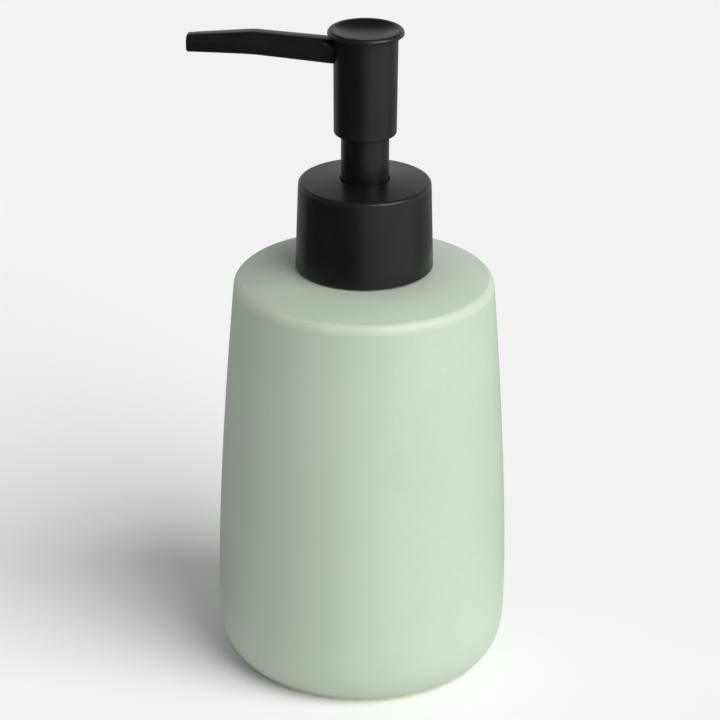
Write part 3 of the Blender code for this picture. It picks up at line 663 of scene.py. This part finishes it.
def spout_height():
    """Height of the spout's root, worked back from the box of the whole spout."""
    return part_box("spout")[1].z - ELBOW_RISE - SPOUT_ELBOW_SIZE / 2


def make_head_core():
    """Inner body of the head: stem socket, upright channel and the spout's socket."""
    socket_top = CORE_FOOT + STEM_ENGAGEMENT + GAP
    spigot = SLEEVE_RADIUS - SLEEVE_WALL - GAP
    middle_height = spout_height()
    core = turned("head_socket", outline([
        (STEM_HOLE, CORE_SPIGOT_FOOT, 0.2 * MM), (spigot, CORE_SPIGOT_FOOT, 0.3 * MM),
        (spigot, CORE_FOOT, 0.2 * MM), (CORE_RADIUS, CORE_FOOT, 0.3 * MM), (CORE_RADIUS, CORE_TOP, 0.3 * MM),
        (0, CORE_TOP, 0), (0, middle_height, 0), (STEM_BORE, middle_height, 0),
        (STEM_BORE, socket_top, 0.2 * MM), (STEM_HOLE, socket_top, 0.15 * MM),
    ]), SMALL_STEPS // 2)
    middle = Vector((0, 0, middle_height))
    outside = Vector((-2 * CORE_RADIUS, 0, middle_height))
    socket_end = Vector((-SPIGOT_END + GAP, 0, middle_height))
    return cut(
        core,
        rod("spout_socket", SPIGOT_RADIUS + GAP, socket_end, outside),
        rod("spout_channel", SPOUT_BORE, middle, outside),
    )


def make_head_shell():
    """Outer cylinder of the head, a little wider at the top, with a hole for the spout."""
    foot_radius = SHELL_RADIUS - SHELL_DRAFT
    bore = foot_radius - SHELL_WALL
    shell = turned("head_barrel", outline([
        (bore, HEAD_FOOT, 0.2 * MM), (foot_radius, HEAD_FOOT, SHELL_FILLET),
        (SHELL_RADIUS, SHELL_TOP, 0.2 * MM), (bore, SHELL_TOP, 0.1 * MM),
    ]))
    inside = Vector((-bore / 2, 0, spout_height()))
    outside = Vector((-2 * SHELL_RADIUS, 0, spout_height()))
    return cut(shell, rod("spout_hole", SPIGOT_RADIUS + GAP, inside, outside))


def make_press_cap():
    """Thin dished thumb cap that overhangs the barrel, with a plug that snaps into the barrel's bore."""
    dish_radius = CAP_RADIUS - CAP_RIM
    corners = [
        (0, PLUG_FOOT, 0), (CORE_RADIUS, PLUG_FOOT, 0.25 * MM), (CORE_RADIUS, CAP_FOOT, 0.15 * MM),
        (CAP_RADIUS, CAP_FOOT, 0.25 * MM), (CAP_RADIUS, CAP_TOP, CAP_ROUND),
    ]
    dish_steps = 20
    for step in range(dish_steps + 1):
        share = 1 - step / dish_steps
        drop = CAP_DISH_DEPTH * (1 - share ** CAP_DISH_POWER)
        corners.append((dish_radius * share, CAP_TOP - drop, 0))
    return turned("thumb_cap", outline(corners))


def spout_ring(place, across, up, squareness, tilt=0.0, hug=0.0):
    """Points round one section of the spout, from round (2) to square; hug wraps it on the barrel."""
    points = []
    for step in range(SPOUT_STEPS):
        angle = math.tau * step / SPOUT_STEPS
        cosine, sine = math.cos(angle), math.sin(angle)
        scale = (abs(cosine) ** squareness + abs(sine) ** squareness) ** (-1 / squareness)
        side = cosine * scale * across
        rise = sine * scale * up
        offset = Vector((-rise * math.sin(tilt), side, rise * math.cos(tilt)))
        if hug:
            offset.x += hug - math.sqrt(hug ** 2 - side ** 2)
        points.append(place + offset)
    return points


def spout_stations():
    """Places, half sizes and tilts along the nozzle: a straight run, a softened elbow and a drooping tip."""
    root_height = spout_height()
    reach = -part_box("spout")[0].x
    start = SHELL_RADIUS + SHELL_DRAFT
    elbow_height = root_height + ELBOW_RISE
    tip_height = elbow_height - TIP_DROP
    root, elbow, tip = (
        Vector((-x, 0, z))
        for x, z in ((start, root_height), (ELBOW_REACH, elbow_height), (reach, tip_height))
    )
    before = elbow + (root - elbow).normalized() * ELBOW_SOFTENING
    after = elbow + (tip - elbow).normalized() * ELBOW_SOFTENING
    line = [root.lerp(before, step / 6) for step in range(6)]
    bend_steps = 6
    for step in range(bend_steps + 1):
        share = step / bend_steps
        line.append(before.lerp(elbow, share).lerp(elbow.lerp(after, share), share))
    line += [after.lerp(tip, step / 5) for step in range(1, 6)]
    stations = []
    for index, place in enumerate(line):
        ahead = line[min(index + 1, len(line) - 1)] - line[max(index - 1, 0)]
        tilt = math.atan2(ahead.z, -ahead.x)
        if place.x > -ELBOW_REACH:
            share = (-place.x - start) / (ELBOW_REACH - start)
            size = SPOUT_ROOT_SIZE + (SPOUT_ELBOW_SIZE - SPOUT_ROOT_SIZE) * share
        else:
            share = (-place.x - ELBOW_REACH) / (reach - ELBOW_REACH)
            size = SPOUT_ELBOW_SIZE + (SPOUT_TIP_SIZE - SPOUT_ELBOW_SIZE) * share
        stations.append((place, size / 2, 0.0 if index in (0, len(line) - 1) else tilt))
    return stations


def make_spout():
    """Tapered nozzle in one skin: spigot, flared root, bent run, rounded tip and the bore back down it."""
    build = bmesh.new()
    stations = spout_stations()
    root, root_half, _ = stations[0]
    tip, tip_half, tip_tilt = stations[-1]
    spigot_end = Vector((-SPIGOT_END, 0, root.z))
    face = SHELL_RADIUS + 0.02 * MM
    rings = [
        spout_ring(spigot_end, SPIGOT_RADIUS, SPIGOT_RADIUS, 2),
        spout_ring(Vector((-face, 0, root.z)), SPIGOT_RADIUS, SPIGOT_RADIUS, 2, hug=face),
        spout_ring(Vector((-face, 0, root.z)), root_half - 0.15 * MM, root_half - 0.15 * MM, 4, hug=face),
        spout_ring(Vector((-face - 0.12 * MM, 0, root.z)), root_half, root_half, SPOUT_SQUARENESS, hug=face),
    ]
    rings += [
        spout_ring(place, half, half, SPOUT_SQUARENESS, tilt) for place, half, tilt in stations[1:-1]
    ]
    forwards = Vector((-math.cos(tip_tilt), 0, math.sin(tip_tilt)))
    arc_steps = 5
    for step in range(arc_steps + 1):
        turn = math.pi / 2 * step / arc_steps
        inset = TIP_FILLET * (1 - math.cos(turn))
        back = TIP_FILLET * (1 - math.sin(turn))
        half = tip_half - inset
        rings.append(spout_ring(tip - forwards * back, half, half, SPOUT_SQUARENESS, tip_tilt))
    lip = SPOUT_BORE + 0.15 * MM
    rings.append(spout_ring(tip, lip, lip, 2, tip_tilt))
    rings.append(spout_ring(tip - forwards * 0.15 * MM, SPOUT_BORE, SPOUT_BORE, 2, tip_tilt))
    rings += [
        spout_ring(place, SPOUT_BORE, SPOUT_BORE, 2, tilt) for place, half, tilt in reversed(stations[1:-1])
    ]
    rings.append(spout_ring(spigot_end, SPOUT_BORE, SPOUT_BORE, 2))
    made = [ring_of(build, ring) for ring in rings]
    for first, second in zip(made, made[1:] + made[:1]):
        bridge(build, first, second)
    return piece_from("spout_nozzle", build)


# ---------------------------------------------------------------- finishes

def add(tree, kind, settings=None, **sockets):
    """A shader node with its settings; each socket is joined to another node's output or set to a value."""
    made = tree.nodes.new("ShaderNode" + kind)
    for name, value in (settings or {}).items():
        setattr(made, name, value)
    for name, value in sockets.items():
        socket = made.inputs[name.replace("_", " ")]
        if isinstance(value, bpy.types.NodeSocket):
            tree.links.new(value, socket)
        else:
            socket.default_value = value
    return made


def calculate(tree, operation, *values):
    made = tree.nodes.new("ShaderNodeMath")
    made.operation = operation
    for socket, value in zip(made.inputs, values):
        if isinstance(value, bpy.types.NodeSocket):
            tree.links.new(value, socket)
        else:
            socket.default_value = value
    return made.outputs[0]


def blend_colours(tree, share, first, second):
    """The first colour where share is 0, the second where it is 1."""
    made = tree.nodes.new("ShaderNodeMix")
    made.data_type = "RGBA"
    for socket, value in zip((made.inputs[0], made.inputs[6], made.inputs[7]), (share, first, second)):
        if isinstance(value, bpy.types.NodeSocket):
            tree.links.new(value, socket)
        else:
            socket.default_value = value if socket == made.inputs[0] else (*value, 1)
    return made.outputs[2]


def spread(tree, value, low, high, to_low=0.0, to_high=1.0):
    made = add(
        tree, "MapRange", {"interpolation_type": "SMOOTHSTEP"},
        Value=value, From_Min=low, From_Max=high, To_Min=to_low, To_Max=to_high,
    )
    return made.outputs[0]


def new_group(name, inputs, outputs):
    """An empty shader group with float inputs {name: value} and float outputs."""
    group = bpy.data.node_groups.new(name, "ShaderNodeTree")
    for label, value in inputs.items():
        socket = group.interface.new_socket(label, in_out="INPUT", socket_type="NodeSocketFloat")
        socket.default_value = value
    for label in outputs:
        group.interface.new_socket(label, in_out="OUTPUT", socket_type="NodeSocketFloat")
    entry = group.nodes.new("NodeGroupInput")
    leave = group.nodes.new("NodeGroupOutput")
    return group, entry.outputs, leave.inputs


def make_fine_relief():
    """Height of a fine skin: a close grain on a slow swell. Sizes are in millimetres."""
    group, given, result = new_group(
        "fine relief", {"Grain Size": 0.3, "Swell Size": 4.0, "Swell Share": 0.5}, ["Height"]
    )
    place = add(group, "TexCoord").outputs["Object"]
    layers = []
    for size in (given["Grain Size"], given["Swell Size"]):
        scale = calculate(group, "DIVIDE", 1 / MM, size)
        layers.append(add(group, "TexNoise", Vector=place, Scale=scale, Detail=2.0).outputs["Fac"])
    swell = calculate(group, "MULTIPLY", layers[1], given["Swell Share"])
    rest = calculate(group, "SUBTRACT", 1.0, given["Swell Share"])
    grain = calculate(group, "MULTIPLY", layers[0], rest)
    group.links.new(calculate(group, "ADD", grain, swell), result["Height"])
    return group


def make_patches():
    """A soft patchy mask from 0 to 1, for mottling and handling marks. Size is in millimetres."""
    group, given, result = new_group("patches", {"Size": 12.0, "Contrast": 0.5, "Stretch": 1.0}, ["Mask"])
    place = add(group, "TexCoord").outputs["Object"]
    split = add(group, "SeparateXYZ", Vector=place).outputs
    upright = calculate(group, "DIVIDE", split["Z"], given["Stretch"])
    joined = add(group, "CombineXYZ", X=split["X"], Y=split["Y"], Z=upright).outputs[0]
    scale = calculate(group, "DIVIDE", 1 / MM, given["Size"])
    cloud = add(
        group, "TexNoise", Vector=joined, Scale=scale, Detail=5.0, Roughness=0.55, Distortion=0.3
    ).outputs["Fac"]
    low = calculate(group, "MULTIPLY", given["Contrast"], 0.3)
    found = add(
        group, "MapRange", {"interpolation_type": "SMOOTHSTEP"}, Value=cloud,
        From_Min=calculate(group, "ADD", 0.2, low), From_Max=calculate(group, "SUBTRACT", 0.8, low),
    ).outputs[0]
    group.links.new(found, result["Mask"])
    return group


def make_edge_wear_and_highlight():
    """A broken mask along the proud edges of a piece, where a finish is thin or rubbed; on the glaze and the
    black plastic it also lays a painted highlight along those edges.
    """
    group, given, result = new_group("worn edge", {"Amount": 0.5, "Break Size": 3.0}, ["Mask"])
    place = add(group, "TexCoord").outputs["Object"]
    edge = add(group, "Attribute", {"attribute_name": "edge"}).outputs["Fac"]
    scale = calculate(group, "DIVIDE", 1 / MM, given["Break Size"])
    broken = add(group, "TexNoise", Vector=place, Scale=scale, Detail=3.0).outputs["Fac"]
    share = spread(group, broken, 0.3, 0.7, 0.6, 1.0)
    worn = calculate(group, "MULTIPLY", edge, share)
    group.links.new(calculate(group, "MULTIPLY", worn, given["Amount"]), result["Mask"])
    return group


def use_group(tree, group, **inputs):
    made = tree.nodes.new("ShaderNodeGroup")
    made.node_tree = group
    for name, value in inputs.items():
        made.inputs[name.replace("_", " ")].default_value = value
    return made.outputs


def new_finish(name, **values):
    """A material with its Principled shader, whose plain values are set on its own sockets."""
    material = bpy.data.materials.new(name)
    material.use_nodes = True
    shader = material.node_tree.nodes["Principled BSDF"]
    for label, value in values.items():
        shader.inputs[label.replace("_", " ")].default_value = value
    return material, material.node_tree, shader.inputs


def join_bump(tree, shader, height, depth, strength=1.0):
    bump = add(tree, "Bump", Height=height, Distance=depth, Strength=strength)
    tree.links.new(bump.outputs[0], shader["Normal"])


def make_sage_glaze(relief, patches, worn):
    """Matt sage glaze over pale clay: mottled, paler on proud edges, partly thin glaze and partly a painted
    highlight, bare at the foot.
    """
    material, tree, shader = new_finish("sage glaze", IOR=1.5)
    broad = use_group(tree, patches, Size=26.0, Contrast=0.2, Stretch=1.6)["Mask"]
    close = use_group(tree, patches, Size=2.4, Contrast=0.5)["Mask"]
    body = blend_colours(tree, broad, (0.424, 0.508, 0.412), (0.450, 0.528, 0.437))
    fine_share = calculate(tree, "MULTIPLY", close, 0.10)
    body = blend_colours(tree, fine_share, body, (0.53, 0.58, 0.48))
    # Paler proud edges: partly thin glaze, partly a painted highlight.
    thin = use_group(tree, worn, Amount=0.35, Break_Size=9.0)["Mask"]
    body = blend_colours(tree, thin, body, (0.60, 0.64, 0.53))
    place = add(tree, "TexCoord").outputs["Object"]
    height = add(tree, "SeparateXYZ", Vector=place).outputs["Z"]
    ragged = add(tree, "TexNoise", Vector=place, Scale=0.25 / MM, Detail=3.0).outputs["Fac"]
    wander = calculate(tree, "MULTIPLY", calculate(tree, "SUBTRACT", ragged, 0.5), 0.35 * MM)
    level = calculate(tree, "ADD", height, wander)
    glazed = spread(tree, level, GLAZE_LINE - 0.08 * MM, GLAZE_LINE + 0.08 * MM)
    clay = blend_colours(tree, close, (0.55, 0.52, 0.40), (0.66, 0.63, 0.50))
    tree.links.new(blend_colours(tree, glazed, clay, body), shader["Base Color"])
    satin = spread(tree, broad, 0.0, 1.0, 0.42, 0.50)
    bare = calculate(tree, "MULTIPLY", calculate(tree, "SUBTRACT", 1.0, glazed), 0.4)
    tree.links.new(calculate(tree, "ADD", satin, bare), shader["Roughness"])
    skin = use_group(tree, relief, Grain_Size=0.5, Swell_Size=5.0, Swell_Share=0.8)["Height"]
    join_bump(tree, shader, skin, 0.02 * MM)
    return material


def make_satin_black(relief, patches, worn):
    """Black moulded plastic: fine spark texture, faint handling marks, edges a little greyer, partly rubbed
    and partly a painted highlight.
    """
    material, tree, shader = new_finish("satin black", IOR=1.5, Specular_IOR_Level=0.3)
    marks = use_group(tree, patches, Size=9.0, Contrast=0.2, Stretch=1.5)["Mask"]
    # Greyer proud edges: partly rubbing, partly a painted highlight.
    rubbed = use_group(tree, worn, Amount=0.35, Break_Size=2.0)["Mask"]
    body = blend_colours(tree, marks, (0.0055, 0.0055, 0.0058), (0.0085, 0.0085, 0.0085))
    tree.links.new(blend_colours(tree, rubbed, body, (0.020, 0.020, 0.020)), shader["Base Color"])
    tree.links.new(spread(tree, marks, 0.0, 1.0, 0.28, 0.32), shader["Roughness"])
    skin = use_group(tree, relief, Grain_Size=0.16, Swell_Size=2.5, Swell_Share=0.3)["Height"]
    join_bump(tree, shader, skin, 0.008 * MM)
    return material


def make_moulded(
    name, low, high, rough, relief, patches, worn, depth=0.006 * MM, grain=0.4, edge=None, **values
):
    """Plain moulded or extruded plastic and rubber: two close colours, a fine skin, softer edges."""
    material, tree, shader = new_finish(name, **values)
    cloud = use_group(tree, patches, Size=6.0, Contrast=0.4)["Mask"]
    rubbed = use_group(tree, worn, Amount=0.5, Break_Size=1.5)["Mask"]
    body = blend_colours(tree, cloud, low, high)
    tree.links.new(blend_colours(tree, rubbed, body, edge or high), shader["Base Color"])
    tree.links.new(spread(tree, cloud, 0.0, 1.0, rough - 0.04, rough + 0.05), shader["Roughness"])
    skin = use_group(tree, relief, Grain_Size=grain, Swell_Size=3.0, Swell_Share=0.5)["Height"]
    join_bump(tree, shader, skin, depth)
    return material


def make_steel(relief, patches):
    """Stainless steel: bright, with faint drawn scratches and dull spots."""
    material, tree, shader = new_finish("stainless steel", Metallic=1.0)
    cloud = use_group(tree, patches, Size=1.2, Contrast=0.6, Stretch=0.3)["Mask"]
    tree.links.new(blend_colours(tree, cloud, (0.56, 0.56, 0.54), (0.68, 0.67, 0.65)), shader["Base Color"])
    tree.links.new(spread(tree, cloud, 0.0, 1.0, 0.16, 0.30), shader["Roughness"])
    skin = use_group(tree, relief, Grain_Size=0.12, Swell_Size=0.8, Swell_Share=0.3)["Height"]
    join_bump(tree, shader, skin, 0.003 * MM)
    return material


def make_finishes():
    relief, patches, worn = make_fine_relief(), make_patches(), make_edge_wear_and_highlight()
    shared = (relief, patches, worn)
    return {
        "glaze": make_sage_glaze(*shared),
        "black_plastic": make_satin_black(*shared),
        "natural_plastic": make_moulded(
            "natural plastic", (0.74, 0.75, 0.71), (0.83, 0.84, 0.81), 0.36, *shared, IOR=1.49
        ),
        "tube_plastic": make_moulded(
            "tube plastic", (0.80, 0.82, 0.80), (0.88, 0.89, 0.87), 0.24, *shared,
            IOR=1.51, Transmission_Weight=0.35,
        ),
        "soft_plastic": make_moulded(
            "soft white plastic", (0.68, 0.69, 0.68), (0.76, 0.77, 0.76), 0.46, *shared, grain=0.25
        ),
        "silicone": make_moulded(
            "grey silicone", (0.25, 0.26, 0.26), (0.32, 0.33, 0.33), 0.60, *shared,
            depth=0.012 * MM, grain=0.2, edge=(0.37, 0.38, 0.38),
        ),
        "steel": make_steel(relief, patches),
    }


# ---------------------------------------------------------------- floor, light and camera

TABLE_HALF = 3.0
PALE = (0.895, 0.895, 0.895)
TABLE_MOTTLE = 1.01
BACKDROP_LEVEL = 0.889
ROOM_LIGHT = 0.365
LOW_GLOW = 0.68
DIM_GLOW = 0.045
KEY_STRENGTH = 3.2
KEY_SIZE = 52.0
KEY_ASIDE = 49.0
KEY_ELEVATION = 39.0
AIM_HEIGHT = 82.1 * MM
AIM_ASIDE = 0.9 * MM
KEY_COLOUR = (1.0, 0.998, 0.994)
BLACK_FLAG = 0.03
GREY_FLAG = 0.32
FLAG_HEIGHT = 0.5 * MM
FLAG_NEAR = 60 * MM
BLACK_FLAG_FAR = 1.6
GREY_FLAG_FAR = 0.62
CAMERA_AZIMUTH = 8.0
CAMERA_DISTANCE = 799.3 * MM
CAMERA_HEIGHT = 433.9 * MM
CAMERA_ROLL = 0.4
LENS = 169.9
SENSOR = 36.0


def toward(azimuth, elevation):
    """Unit vector from the object: azimuth 0 is the front, 90 its right; both in degrees."""
    a, e = math.radians(azimuth), math.radians(elevation)
    return Vector((math.sin(a) * math.cos(e), -math.cos(a) * math.cos(e), math.sin(e)))


def make_camera():
    data = bpy.data.cameras.new("product_camera")
    data.lens = LENS
    data.sensor_width = SENSOR
    camera = bpy.data.objects.new("product_camera", data)
    bpy.context.scene.collection.objects.link(camera)
    flat = toward(CAMERA_AZIMUTH, 0)
    right = Vector((-flat.y, flat.x, 0))
    camera.location = flat * CAMERA_DISTANCE + Vector((0, 0, CAMERA_HEIGHT))
    aim = Vector((0, 0, AIM_HEIGHT)) - right * AIM_ASIDE
    facing = (aim - camera.location).to_track_quat("-Z", "Y").to_matrix()
    roll = Matrix.Rotation(math.radians(CAMERA_ROLL), 3, "Z")
    camera.rotation_euler = (facing @ roll).to_euler()
    bpy.context.scene.camera = camera


def make_card(name, corners, material):
    build = bmesh.new()
    build.faces.new(ring_of(build, corners))
    mesh = bpy.data.meshes.new(name)
    build.to_mesh(mesh)
    build.free()
    card = bpy.data.objects.new(name, mesh)
    bpy.context.scene.collection.objects.link(card)
    mesh.materials.append(material)
    return card


def make_floor():
    material, tree, shader = new_finish("pale table", Roughness=0.75)
    place = add(tree, "TexCoord").outputs["Object"]
    cloud = add(tree, "TexNoise", Vector=place, Scale=3.0, Detail=2.0).outputs["Fac"]
    shade = blend_colours(tree, cloud, PALE, tuple(value * TABLE_MOTTLE for value in PALE))
    tree.links.new(shade, shader["Base Color"])
    shader["Specular IOR Level"].default_value = 0.1
    half = TABLE_HALF
    corners = [(-half, -half, 0), (half, -half, 0), (half, half, 0), (-half, half, 0)]
    make_card("pale_floor", corners, material)


def make_key_light():
    """One very large soft light from the front right, even over the whole table."""
    data = bpy.data.lights.new("key_light", "SUN")
    data.energy = KEY_STRENGTH
    data.angle = math.radians(KEY_SIZE)
    data.color = KEY_COLOUR
    light = bpy.data.objects.new("key_light", data)
    bpy.context.scene.collection.objects.link(light)
    way = toward(CAMERA_AZIMUTH + KEY_ASIDE, KEY_ELEVATION)
    light.location = way
    light.rotation_euler = (-way).to_track_quat("-Z", "Y").to_euler()


def make_flag(name, shade, turns, far, ends, fades):
    """A card on the table that only reflections meet, fading to other shades at its two ends.

    Turns and fades are in degrees round the object from the camera.
    """
    material, tree, shader = new_finish(name + "_cloth", Roughness=1.0)
    shader["Specular IOR Level"].default_value = 0.0
    split = add(tree, "SeparateXYZ", Vector=add(tree, "TexCoord").outputs["Object"]).outputs
    middle = math.radians(CAMERA_AZIMUTH + sum(turns) / 2)
    along = calculate(tree, "ADD", *(
        calculate(tree, "MULTIPLY", split[axis], share)
        for axis, share in (("X", math.sin(middle)), ("Y", -math.cos(middle)))
    ))
    across = calculate(tree, "ADD", *(
        calculate(tree, "MULTIPLY", split[axis], share)
        for axis, share in (("X", math.cos(middle)), ("Y", math.sin(middle)))
    ))
    turn = calculate(tree, "ARCTAN2", across, along)
    last = math.radians((turns[1] - turns[0]) / 2)
    first_fade, last_fade = (math.radians(fade) for fade in fades)
    first_tone, tone, last_tone = ((value, value, value) for value in (ends[0], shade, ends[1]))
    tone = blend_colours(tree, spread(tree, turn, -last, first_fade - last), first_tone, tone)
    tone = blend_colours(tree, spread(tree, turn, last - last_fade, last), tone, last_tone)
    tree.links.new(tone, shader["Base Color"])
    spots = [toward(CAMERA_AZIMUTH + turn, 0) for turn in range(turns[0], turns[1] + 1, 5)]
    corners = [spot * FLAG_NEAR for spot in spots] + [spot * far for spot in reversed(spots)]
    flag = make_card(name, [(spot.x, spot.y, FLAG_HEIGHT) for spot in corners], material)
    flag.visible_camera = False
    flag.visible_diffuse = False
    flag.visible_shadow = False
    flag.visible_transmission = False


def make_flags():
    """A black flag at the front left and a grey one behind, which keep black work black."""
    table = PALE[0]
    make_flag("black_flag", BLACK_FLAG, (-115, 20), BLACK_FLAG_FAR, (BLACK_FLAG, table), (1, 40))
    make_flag("grey_flag", GREY_FLAG, (75, 245), GREY_FLAG_FAR, (table, BLACK_FLAG), (30, 3))


def make_surround():
    """Even pale room light; what reflections meet is bright only low down and behind the object."""
    world = bpy.data.worlds.new("studio")
    bpy.context.scene.world = world
    world.use_nodes = True
    world.cycles.sampling_method = "NONE"
    tree = world.node_tree
    background = tree.nodes["Background"]
    way = add(tree, "SeparateXYZ", Vector=add(tree, "TexCoord").outputs["Generated"]).outputs
    path = add(tree, "LightPath").outputs
    low_band = spread(tree, way["Z"], 0.34, 0.58, 1.0, 0.0)
    behind = spread(tree, way["Y"], -0.5, 0.5)
    glow = calculate(tree, "MULTIPLY", calculate(tree, "MULTIPLY", low_band, behind), LOW_GLOW)
    mirrored = calculate(tree, "MULTIPLY", calculate(tree, "ADD", glow, DIM_GLOW), path["Is Glossy Ray"])
    plain = calculate(tree, "MULTIPLY", path["Is Camera Ray"], BACKDROP_LEVEL)
    others = calculate(tree, "SUBTRACT", 1.0, path["Is Camera Ray"])
    others = calculate(tree, "SUBTRACT", others, path["Is Glossy Ray"])
    soft = calculate(tree, "MULTIPLY", others, ROOM_LIGHT)
    total = calculate(tree, "ADD", calculate(tree, "ADD", mirrored, plain), soft)
    tree.links.new(total, background.inputs["Strength"])
    background.inputs["Color"].default_value = (1.0, 1.0, 0.998, 1)


# ---------------------------------------------------------------- assembly

MAKERS = {
    "bottle": (make_bottle, "glaze"),
    "neck_insert": (make_neck_insert, "natural_plastic"),
    "neck_seal": (make_neck_seal, "silicone"),
    "inner_closure": (make_inner_closure, "natural_plastic"),
    "collar": (make_collar, "black_plastic"),
    "pump_housing": (make_pump_housing, "natural_plastic"),
    "chaplet": (make_chaplet, "natural_plastic"),
    "neck_gasket": (make_neck_gasket, "silicone"),
    "ball_cage": (make_ball_cage, "natural_plastic"),
    "dip_tube": (make_dip_tube, "tube_plastic"),
    "inlet_ball": (make_inlet_ball, "steel"),
    "return_spring": (make_return_spring, "steel"),
    "piston": (make_piston, "soft_plastic"),
    "piston_tip": (make_piston_tip, "natural_plastic"),
    "stem": (make_stem, "natural_plastic"),
    "stem_sleeve": (make_stem_sleeve, "black_plastic"),
    "head_core": (make_head_core, "natural_plastic"),
    "head_shell": (make_head_shell, "black_plastic"),
    "press_cap": (make_press_cap, "black_plastic"),
    "spout": (make_spout, "black_plastic"),
}


def build_dispenser():
    finishes = make_finishes()
    bodies = frame["record"]["behaviour"]["bodies"]
    for body, nodes in bodies.items():
        for node in nodes:
            maker, finish_name = MAKERS[node]
            piece = maker()
            piece.data.materials.clear()
            piece.data.materials.append(finishes[finish_name])
            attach(piece, body)
            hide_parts(node)


make_camera()
make_floor()
make_key_light()
make_flags()
make_surround()
build_dispenser()
bpy.context.scene.view_settings.view_transform = "Standard"
